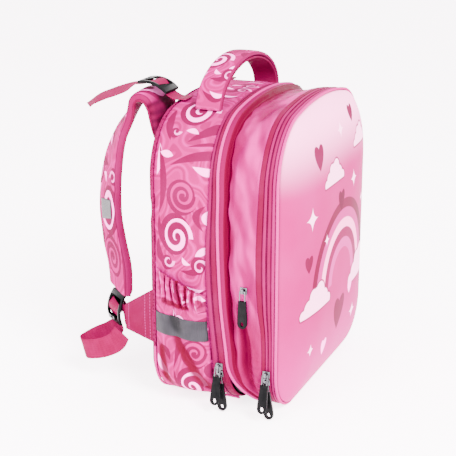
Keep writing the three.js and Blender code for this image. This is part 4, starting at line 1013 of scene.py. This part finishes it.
def coil(name, edges, node, share, shift=0.0):
    """Closed zipper coil: a low round ridge along the tape that swells and thins with its teeth.

    It lies a share of the way from the tape's front edge to its rear edge, and a shift further back.
    """
    run = np.linspace(1, FULL_RUN - 1, 1400)
    rear, front = edges(run)
    path = place(run, front + (rear - front) * share + shift, COIL_RISE)
    teeth = 1 + TOOTH_DEPTH * np.sin(run * TAU / TOOTH_PITCH)
    size = np.stack([COIL_HALF * teeth, COIL_HEIGHT * teeth], -1)
    across = np.broadcast_to([0.0, 1.0, 0.0], path.shape)
    sheet = sweep(path, across, round_section(1.0, sides=10)[None] * size[:, None])
    return piece(name, [sheet], COIL, node)


def zippers():
    """Both zippers: a tape and its coil."""
    zipper_tape("rear_zipper_band", rear_tape_edges, REAR_STRIPS, REAR_TAPE, "rear_zipper_tape")
    coil("rear_zipper_teeth", rear_tape_edges, "rear_zipper_coil", share=0.5, shift=0.5)
    zipper_tape("front_zipper_band", front_tape_edges, FRONT_STRIPS, FRONT_TAPE, "front_zipper_tape")
    coil("front_zipper_teeth", front_tape_edges, "front_zipper_coil", share=0.44)


# Piping
def piping(name, path, out, radius, node, closed=False):
    """Cord piping: a round cord along a path, a little flattened against the seam."""
    flattened = np.array([1.0, 0.92])
    across = np.cross(unit(np.gradient(path, axis=0)), out)
    sheet = sweep(path, across, round_section(radius, sides=14) * flattened, closed)
    return piece(name, [sheet], CORD, node)


def section_cord():
    """Cord along the edge of the front section."""
    run = np.linspace(0.5, FULL_RUN - 0.5, 640)
    path = place(run, seam(run, SECTION), 0.9)
    return piping("front_section_cord", path, outward(run), SECTION_CORD_R, "rear_piping")


def front_loop(count, rise):
    """Closed loop of the front outline and the bottom edge, as evenly spaced points."""
    arch = place(np.linspace(0, FULL_RUN, 900), 0.0, rise)
    bottom = np.linspace(arch[-1], arch[0], 260)[1:]
    loop = np.concatenate([arch, bottom])
    far = lengths(loop)
    even = np.linspace(0, far[-1], count)
    return np.stack([np.interp(even, far, loop[:, k]) for k in range(3)], -1)


def front_cord():
    """Cord round the front panel."""
    path = front_loop(760, rise=0.2) + np.array([0.0, FRONT_Y, 0.0])
    forward = unit(np.gradient(path, axis=0))
    out = np.cross(forward, np.broadcast_to([0.0, 1.0, 0.0], path.shape))
    return piping("front_panel_cord", path, out, FRONT_CORD_R, "front_piping", closed=True)


def base_cords():
    """Cord along the lower edge of each side: from the back seam down, along the base and up to the bellows.

    Its route is a line through the table's points, smoothed by a running mean.
    """
    steps, reach = 160, 4
    at = np.linspace(0, len(BASE_CORD) - 1, steps)
    rows = np.stack([np.interp(at, np.arange(len(BASE_CORD)), BASE_CORD[:, k]) for k in range(3)], -1)
    longer = np.pad(rows, ((reach, reach), (0, 0)), mode="edge")
    mean = np.ones(2 * reach + 1) / (2 * reach + 1)
    run, y, rise = (np.convolve(longer[:, k], mean, "valid") for k in range(3))
    for side in SIDES:
        way = run if side == "left" else FULL_RUN - run
        piping("base_cord_" + side, place(way, y, rise), outward(way), BASE_CORD_R, "base_piping_" + side)


# Bellows between the zippers
def bellows():
    """Satin bellows: its depth eases from flange to tuck, lip, ridge, valley and brow, with soft creases."""
    run, share = spread(rows=570, columns=84)
    half = from_base(run)
    rows = curve(FOLDS[:, 0], FOLDS[:, 1:], half[:, 0])
    tuck, ridge_at, ridge, valley_at, valley, brow_at, brow = (rows[:, k:k + 1] for k in range(7))
    lip = LIP_AT + 0.018 * np.sin(half * LIP_QUICK) + 0.025 * np.sin(half * LIP_SLOW + 1.0)
    knots = [0.0, FLANGE_END, TUCK_AT, lip, np.maximum(ridge_at, RIDGE_FIRST), valley_at, brow_at, 1.0]
    depth = -FLANGE_RISE
    depths = [depth, depth, tuck, ridge + 0.22 * tuck, ridge, valley, brow, 0.0]
    for k in range(len(knots) - 1):
        depth = depth + (depths[k + 1] - depths[k]) * ease(knots[k], knots[k + 1], share)
    rear, front = seam(run, SECTION) - CORD_ROOM, seam(run, FRONT_ZIP)
    y = rear + (front - rear) * share
    loose = window(share, 0.22, 0.4, 0.9, 1.0) * ease(20, 60, half)
    crease = 2.2 * ripple(run * 0.55 + y * 1.1, y, length=36, seed=8)
    crease = crease + 0.8 * ripple(run * 0.7 + y, y * 0.5, length=18, seed=21)
    puckers = PUCKER_DEPTH * np.sin(half * TAU / PUCKER_PITCH + share * 5)
    puckers = puckers * hump(half, PUCKER_RUN, PUCKER_REACH) * ease(0.45, 0.65, share)
    rise = loose * (crease + puckers) - depth
    # the fold attribute is the depth, for the satin's painted shade down in its folds
    return piece(
        "bellows_satin", [(place(run, y, rise), measure(share * SATIN_WIDTH, half))], SATIN,
        "middle_gusset", wall=1.5, away=BAG_MIDDLE, fold=depth - loose * crease)


# Front panel
def front_panel():
    """Moulded front: the outline drawn in towards its middle while it rises by the dome's table."""
    loop = front_loop(420, rise=-RIM_INSET)
    step = curve(np.arange(len(DOME)), DOME, np.linspace(0, len(DOME) - 1, 80))
    share, lift = np.clip(step[:, 0], 0, 1)[:, None], step[:, 1][:, None]
    x = loop[None, :, 0] * share
    z = MIDDLE_Z + (loop[None, :, 2] - MIDDLE_Z) * share
    grid = np.stack(np.broadcast_arrays(x, SHELL_Y - lift, z), -1)
    return piece(
        "front_panel", [(grid, measure(x, z))], FRONT, "front_shell", wall=2.8,
        away=SHELL_MIDDLE)


# Back padding
def back_padding():
    """Padded back: the outline drawn in to its middle, rising with the root of the way in, with channels."""
    loop = front_loop(360, rise=-1.0)
    share = (1 - np.linspace(0, 1, 90) ** 1.5)[:, None]
    x, z = loop[None, :, 0] * share, MIDDLE_Z + (loop[None, :, 2] - MIDDLE_Z) * share
    edge = loop[:, [0, 2]]
    spot = np.stack([x, z], -1).reshape(-1, 2)
    far = np.min(np.linalg.norm(spot[:, None] - edge[None], axis=2), axis=1).reshape(x.shape)
    channel = np.minimum.reduce([np.abs(x)] + [np.abs(z - height) for height in CHANNELS])
    pressed = CHANNEL_SHARE + (1 - CHANNEL_SHARE) * ease(4, 15, channel)
    swell = PAD_SWELL * np.sqrt(np.clip(far / PAD_SHOULDER, 0, 1)) * pressed
    swell = swell + 0.5 * ripple(x, z, length=70, seed=5) * ease(10, 30, far)
    outside = np.stack(np.broadcast_arrays(x, BACK_Y + 0.4 + 3.4 * ease(0, 3, far) + swell, z), -1)
    inside = np.stack(np.broadcast_arrays(x[::-1], BACK_Y + 0.35 + 0 * x, z[::-1]), -1)
    cloth = measure(x, z)
    made = piece(
        "back_padding", [(outside, cloth), (inside, cloth[::-1])], MESH, "back_panel")
    return made


# Handle
def handle():
    """Handle: a soft flat printed strip along an arch over the crown, and a ribbed strip under it."""
    turn = np.linspace(-np.pi / 2, np.pi / 2, 120)
    foot = crown_height(HANDLE_SPAN) + GAP
    height = foot + HANDLE_RISE * np.abs(np.cos(turn)) ** 1.1
    path = np.stack([HANDLE_SPAN * np.sin(turn), HANDLE_Y + 0 * turn, height], -1)
    across = np.broadcast_to([0.0, -1.0, 0.0], path.shape)
    grip = sweep(path, across, flat_section(half=16.0, low=0.2, high=6.2, edge=0.6, sides=48))
    made = piece("handle_grip", [grip], HANDLE_PRINT, "handle_pad")
    under = sweep(path, across, flat_section(half=15.2, low=-2.9, high=0.1, edge=0.5, sides=40))
    return piece("handle_underside", [under], LINING, "handle_lining")


# Side pockets
def pocket_cloth(row, across):
    """A pocket's run, depth, rise, and painted shade of its folds and sag, at its rows and places across.

    The cloth swells between the back seam and the zipper. Slanting creases press it in below the band, a sag
    presses in the band, and gathers with a puckered line under them draw in the hem.
    """
    rows = curve(np.arange(len(POCKET_ROWS)), POCKET_ROWS, row[:, 0])
    back, front, swell, gather = (rows[:, k:k + 1] for k in range(4))
    run = back + (front - back) * across
    y = POCKET_BACK + (seam(run, REAR_ZIP) + 1.0 - POCKET_BACK) * across
    bow = np.maximum(np.sin(np.pi * np.clip(across, 0, 1)), 0) ** 0.45
    uneven = 1.1 * np.sin(5.0 * across + run / 7) + 0.8 * np.sin(11 * across - run / 11)
    phase = TAU * GATHERS * across + uneven
    ruffle = np.cos(phase) + 0.4 * np.cos(2.13 * phase + 1.0)
    crest, hollow = ease(0.5, 1.1, ruffle), ease(0.3, -0.7, ruffle)
    sag = hump(across, SAG_AT + (SAG_RUN - run) / SAG_SLANT, SAG_WIDTH) * window(run, *SAG_WINDOW)
    line = hump(row, LINE_ROW, LINE_WIDTH) * window(across, *LINE_WINDOW)
    hem = window(row, *HEM_WINDOW)
    crumple = 0.8 * ripple(run, y, length=26, seed=12) * ease(30, 60, run)
    press = SAG_DEPTH * sag + LINE_DEPTH * line + HEM_DEPTH * hem
    # painted shade in the puckered line and in the gathers' hollows
    fold = np.maximum(line, 0.8 * gather * hollow * bow)
    down = np.clip((run - CREASE_RUN) / CREASE_LENGTH, -0.4, 1.4)
    # each crease presses in and adds painted shade
    for at, slant, width, start, full, fade, end, depth, dark in CREASES:
        crease = hump(across, at - slant * down, width) * window(down, start, full, fade, end)
        press = press + depth * crease
        fold = np.maximum(fold, dark * crease)
    # painted highlights on the gathers' crests, as a fold below nought
    fold = fold - gather * crest * bow * (1 - line)
    lift = POCKET_SWELL * swell - press + GATHER_DEPTH * gather * ruffle + crumple
    # the fold and the sag are painted shade; the fold below nought is a painted highlight
    return {
        "run": run, "y": y, "rise": POCKET_RISE + np.maximum(0, lift * bow), "fold": np.clip(fold, -1, 1),
        "sag": np.clip(sag * 1.1, 0, 1),
    }


def pockets():
    """Side pockets with their grey bands, which follow the cloth a little outside it."""
    across = np.linspace(0, 1, 150)[None, :]
    cloth = pocket_cloth(np.linspace(0, len(POCKET_ROWS) - 1, 170)[:, None], across)
    band = pocket_cloth(np.linspace(*BAND_ROWS, 26)[:, None], across)
    cloth_points = place(cloth["run"], cloth["y"], cloth["rise"])
    band_points = place(band["run"], band["y"], band["rise"] + BAND_RISE)
    for side, turn in SIDES.items():
        # the fold attribute carries painted shade: the pocket's folds with highlights on its gathers, and the
        # band's sag
        piece(
            "pocket_cloth_" + side, [(turn(cloth_points), measure(cloth["y"], cloth["run"]))], HEM_PRINT,
            "pocket_" + side, wall=1.4, away=BAG_MIDDLE, fold=cloth["fold"])
        piece(
            "pocket_reflector_" + side, [(turn(band_points), measure(band["run"], band["y"]))], SILVER_TAPE,
            "pocket_band_" + side, wall=0.6, away=BAG_MIDDLE, fold=band["sag"])


# Shoulder straps
def strap_line(right):
    """Middle line of a strap with its widths and the directions across it."""
    rows = STRAP_ROWS.copy()
    if right:
        rows[:, 1] -= RIGHT_TUCK * np.sin(np.pi * np.linspace(0, 1, len(rows)))
        rows[:, 2] -= RIGHT_DROP + RIGHT_SAG
    else:
        rows[:, 4] += LEFT_TWIST
    far = lengths(rows[:, :3])
    line = curve(far, rows, np.linspace(0, far[-1], STRAP_STEPS))
    turn = np.radians(line[:, 4])
    across = np.stack([np.cos(turn), np.sin(turn), 0 * turn], -1)
    return line[:, :3], line[:, 3], across


def strap_padding(path, width, across):
    """The padded strip: half a superellipse over a flat foot along the strap.

    It is puffed by ripples, kinked at one edge where the strap bends, and cut aslant at its lower end.
    """
    around = np.linspace(0, TAU, 57)
    flat, sin = blunt(np.cos(around), 0.4), np.sin(around)
    high = np.where(sin > 0, STRAP_HEIGHT * np.abs(sin) ** 0.42, -0.2)
    puff = 0.6 * ripple(np.linspace(0, 330, STRAP_STEPS), np.zeros(STRAP_STEPS), length=60, seed=4)
    far = lengths(path)
    kink = sum(size * hump(far, at, reach) for at, reach, size in KINKS)
    wide = flat[None] * (width[:, None] / 2) + kink[:, None] * np.minimum(flat, 0)[None]
    section = np.stack(np.broadcast_arrays(wide, high[None] + puff[:, None] * (sin > 0.5)), -1)
    pad, cloth = sweep(path, across, section)
    slant = ease(far[-1] - SLANT_LENGTH, far[-1], far)[:, None] * SLANT * flat[None]
    pad[1:-1] += slant[..., None] * unit(np.gradient(path, axis=0))[:, None]
    pad[-1] = pad[-2].mean(0)
    return pad, cloth


def strap_inside(path, width, across):
    """The inner face: a flat strip a little wider than the strap, with a tip that narrows as a parabola."""
    step = np.linspace(0, 1, TIP_STEPS)[1:]
    tip = path[-1] + step[:, None] * TIP_LENGTH * unit(path[-1] - path[-3])
    half = width / 2 + LINING_EDGE
    half = np.concatenate([half, half[-1] * (1 - 0.5 * step ** 2)])
    across = np.concatenate([across, np.repeat(across[-1:], len(step), 0)])
    section = flat_section(half, low=-3.4, high=0.4, edge=0.45, sides=44)
    return sweep(np.concatenate([path, tip]), across, section)


def strap_patch(path, width, across):
    """The reflective patch: a thin flat strip on a short stretch of the strap's outside."""
    path, width, across = path[PATCH_STEPS], width[PATCH_STEPS], across[PATCH_STEPS]
    half, low, high = width / 2 - PATCH_MARGIN, STRAP_HEIGHT - 0.1, STRAP_HEIGHT + 0.6
    section = flat_section(half, low, high, edge=0.3, sides=40)
    return sweep(path - PATCH_SHIFT * across, across, section)


def straps():
    """Shoulder straps: a soft padded strip, its hot pink inner face and a reflective patch outside."""
    for side, turn in SIDES.items():
        line = strap_line(side == "right")
        pad, cloth = strap_padding(*line)
        made = piece(
            "strap_padding_" + side, [(turn(pad), cloth)], STRAP_PRINT, "strap_pad_" + side)
        face, cloth = strap_inside(*line)
        piece("strap_inside_" + side, [(turn(face), cloth)], LINING, "strap_lining_" + side)
        patch, cloth = strap_patch(*line)
        piece(
            "strap_patch_" + side, [(turn(patch), cloth)], SILVER_TAPE,
            "strap_reflector_" + side)


# Webbing
def threaded(buckle, way):
    """Points of a webbing's way through a buckle, with the directions across it."""
    points = buckle[0] + way[:, :1] * buckle[1] + way[:, 1:] * buckle[3]
    return np.concatenate([points, np.broadcast_to(buckle[2], points.shape)], 1)


def web(name, rows, node, turn, cut=0.0):
    """Webbing: a flat strip with tight round edges along a smooth line through its rows.

    Its end may be cut aslant: the last stretch is pushed along the line by a share of the place across.
    """
    far = lengths(rows[:, :3])
    line = curve(far, rows, np.linspace(0, far[-1], 240))
    path, across = line[:, :3], line[:, 3:]
    grid, cloth = sweep(path, across, flat_section(WEB_HALF, -WEB_THICK, WEB_THICK, edge=0.35, sides=36))
    aside = np.sum((grid[1:-1] - path[:, None]) * unit(across)[:, None], -1)
    shift = cut * ease(far[-1] - 24, far[-1], lengths(path))[:, None] * aside
    grid[1:-1] += shift[..., None] * unit(np.gradient(path, axis=0))[:, None]
    return piece(name, [(turn(grid), cloth)], WEBBING, node)


def webbing():
    """Upper webs from the top seam through their buckles to free tails, and lower webs from the wings."""
    height = float(crown_height(WEB_X)) + SEWN_RISE
    sewn = np.array([(-WEB_X, y, height, 1, 0, 0) for y in SEWN_Y])
    over = THREAD_OVER[THREAD_OVER[:, 0] > -3]
    upper = {
        "left": [sewn, threaded(UPPER, THREAD_OVER), LIFTER_TAIL],
        "right": [sewn, RIGHT_SLACK, threaded(UPPER_RIGHT, THREAD_OVER), RIGHT_TAIL],
    }
    for side, turn in SIDES.items():
        left = side == "left"
        rows = np.concatenate(upper[side])
        web("upper_web_" + side, rows, "lifter_web_" + side, turn, cut=TAIL_CUT if left else 0.0)
        lower = np.concatenate([WING_WEB, threaded(LOWER, THREAD_BACK), threaded(LOWER, over), TAIL_LOOP])
        lower[:, 2] -= 0.0 if left else RIGHT_DROP
        web("lower_web_finished_" + side, lower, "lower_web_" + side, turn)


def wings():
    """Cloth wings at the lower side seams: a strip between two edges, a little bowed, with stitched rows."""
    along = np.linspace(-WING_BEHIND, 1, 44)[:, None, None]
    across = np.linspace(0, 1, 36)[None, :, None]
    up = np.array([0, 0, 1.0])
    inner = WING_SEAM + across * up * WING_SEAM_HEIGHT
    outer = WING_OUTER + across * up * WING_OUTER_HEIGHT
    bow = WING_BOW * np.sin(np.pi * along) * np.cos(3 * np.pi * (across - 0.5))
    out = unit(WING_OUT)
    cloth = measure(along[..., 0] * WING_ALONG, across[..., 0] * WING_ACROSS)
    for side, turn in SIDES.items():
        sheet = inner + (outer - inner) * along - up * (RIGHT_DROP if side == "right" else 0.0)
        face, rear = turn(sheet + out * (WING_THICK + bow)), turn(sheet + out * (bow - WING_THICK))
        grids = [(face, cloth), (rear[::-1], cloth[::-1])]
        for rim in (np.s_[0], np.s_[-1], np.s_[:, 0], np.s_[:, -1]):
            grids.append((np.stack([face[rim], rear[rim]], 1), np.stack([cloth[rim]] * 2, 1)))
        piece("wing_cloth_" + side, grids, WING_CLOTH, "strap_wing_" + side)


# Base, buckles and zipper pulls
def hard_pieces():
    """Dark base, ladder buckles, and the slider, link and tab of each zipper pull."""
    for node in ("base_panel", "base_corner_left", "base_corner_right"):
        rounded(node, DARK, width=1.0)
    for node in ("lifter_buckle_left", "lifter_buckle_right", "lower_buckle_left", "lower_buckle_right"):
        rounded(node, PLASTIC, width=0.7)
    for pull in ("rear_pull", "rear_second_pull", "front_pull", "front_second_pull", "side_pull"):
        body = pull if pull in frame["bodies"] else "bag"
        rounded(pull + "_slider", SILVER, width=0.35)
        rounded(pull + "_link", SILVER, width=0.3, body=body)
        rounded(pull + "_tab", RUBBER, width=0.8, body=body)


# Floor, light and camera, in metres
FLOOR_HALF = 9.0
LAMP_AIM = 0.0, 0.0, 0.18
# the photograph's size, focal length and the point where its camera's target lies, in pixels
IMAGE, FOCAL, TARGET_X, TARGET_Y = 456, 1243.73, 260.81, 230.33
# the camera's direction and distance from its target
AZIMUTH, ELEVATION, DISTANCE = np.radians(-68.35), np.radians(17.88), 1.5176
TARGET = np.array([0.0, 0.0, 0.175])
# width of the camera's sensor, in millimetres
SENSOR = 36.0


def floor():
    """Pale studio floor: one large square that glows a little."""
    look = Look("studio floor", Roughness=0.55, Emission_Color=tint(255, 240, 248), Emission_Strength=4.2)
    drift = look.noise(look.body(), scale=0.8)
    look.feed("Base Color", look.mix(drift, tint(250, 246, 248), tint(252, 249, 250)))
    mesh = bpy.data.meshes.new("studio_floor")
    corners = [(-1, -1), (1, -1), (1, 1), (-1, 1)]
    mesh.from_pydata([(x * FLOOR_HALF, y * FLOOR_HALF, 0) for x, y in corners], [], [(0, 1, 2, 3)])
    shown("studio_floor", mesh, look)


def soft_light(name, place_at, size, watts):
    """A large soft lamp that points at the bag."""
    lamp = bpy.data.lights.new(name, "AREA")
    lamp.shape, lamp.size, lamp.energy = "DISK", size, watts
    made = bpy.data.objects.new(name, lamp)
    made.location = place_at
    made.rotation_mode = "QUATERNION"
    made.rotation_quaternion = (Vector(LAMP_AIM) - Vector(place_at)).to_track_quat("-Z", "Y")
    bpy.context.collection.objects.link(made)


def lights():
    """Pale surroundings and two soft lamps."""
    world = bpy.data.worlds.new("studio")
    bpy.context.scene.world = world
    world.use_nodes = True
    sky = next(n for n in world.node_tree.nodes if n.type == "BACKGROUND")
    sky.inputs["Color"].default_value = tint(252, 248, 250)
    sky.inputs["Strength"].default_value = 4.4
    soft_light("key lamp", (-1.1, -1.5, 1.7), size=1.1, watts=260)
    soft_light("side lamp", (-1.9, 0.7, 1.2), size=1.0, watts=80)


def photograph_camera():
    """Camera of the photograph: the ray to the target, turned by the target's place in the image."""
    level = np.cos(ELEVATION)
    forward = np.array([-np.sin(AZIMUTH) * level, np.cos(AZIMUTH) * level, -np.sin(ELEVATION)])
    right = np.array([np.cos(AZIMUTH), np.sin(AZIMUTH), 0.0])
    up = np.cross(right, forward)
    middle = IMAGE / 2
    aim = unit(forward + right * (middle - TARGET_X) / FOCAL - up * (middle - TARGET_Y) / FOCAL)
    side = unit(np.cross(aim, [0.0, 0.0, 1.0]))
    lens = bpy.data.cameras.new("camera")
    lens.sensor_width, lens.lens = SENSOR, FOCAL * SENSOR / IMAGE
    lens.clip_start, lens.clip_end = 0.05, 50.0
    camera = bpy.data.objects.new("camera", lens)
    turned = Matrix(np.stack([side, np.cross(side, aim), -aim], 1).tolist()).to_4x4()
    camera.matrix_world = Matrix.Translation((TARGET - forward * DISTANCE).tolist()) @ turned
    bpy.context.collection.objects.link(camera)
    bpy.context.scene.camera = camera


# Put together
rear_wall()
zippers()
section_cord()
front_cord()
base_cords()
bellows()
front_panel()
back_padding()
handle()
pockets()
straps()
webbing()
wings()
hard_pieces()
floor()
lights()
photograph_camera()
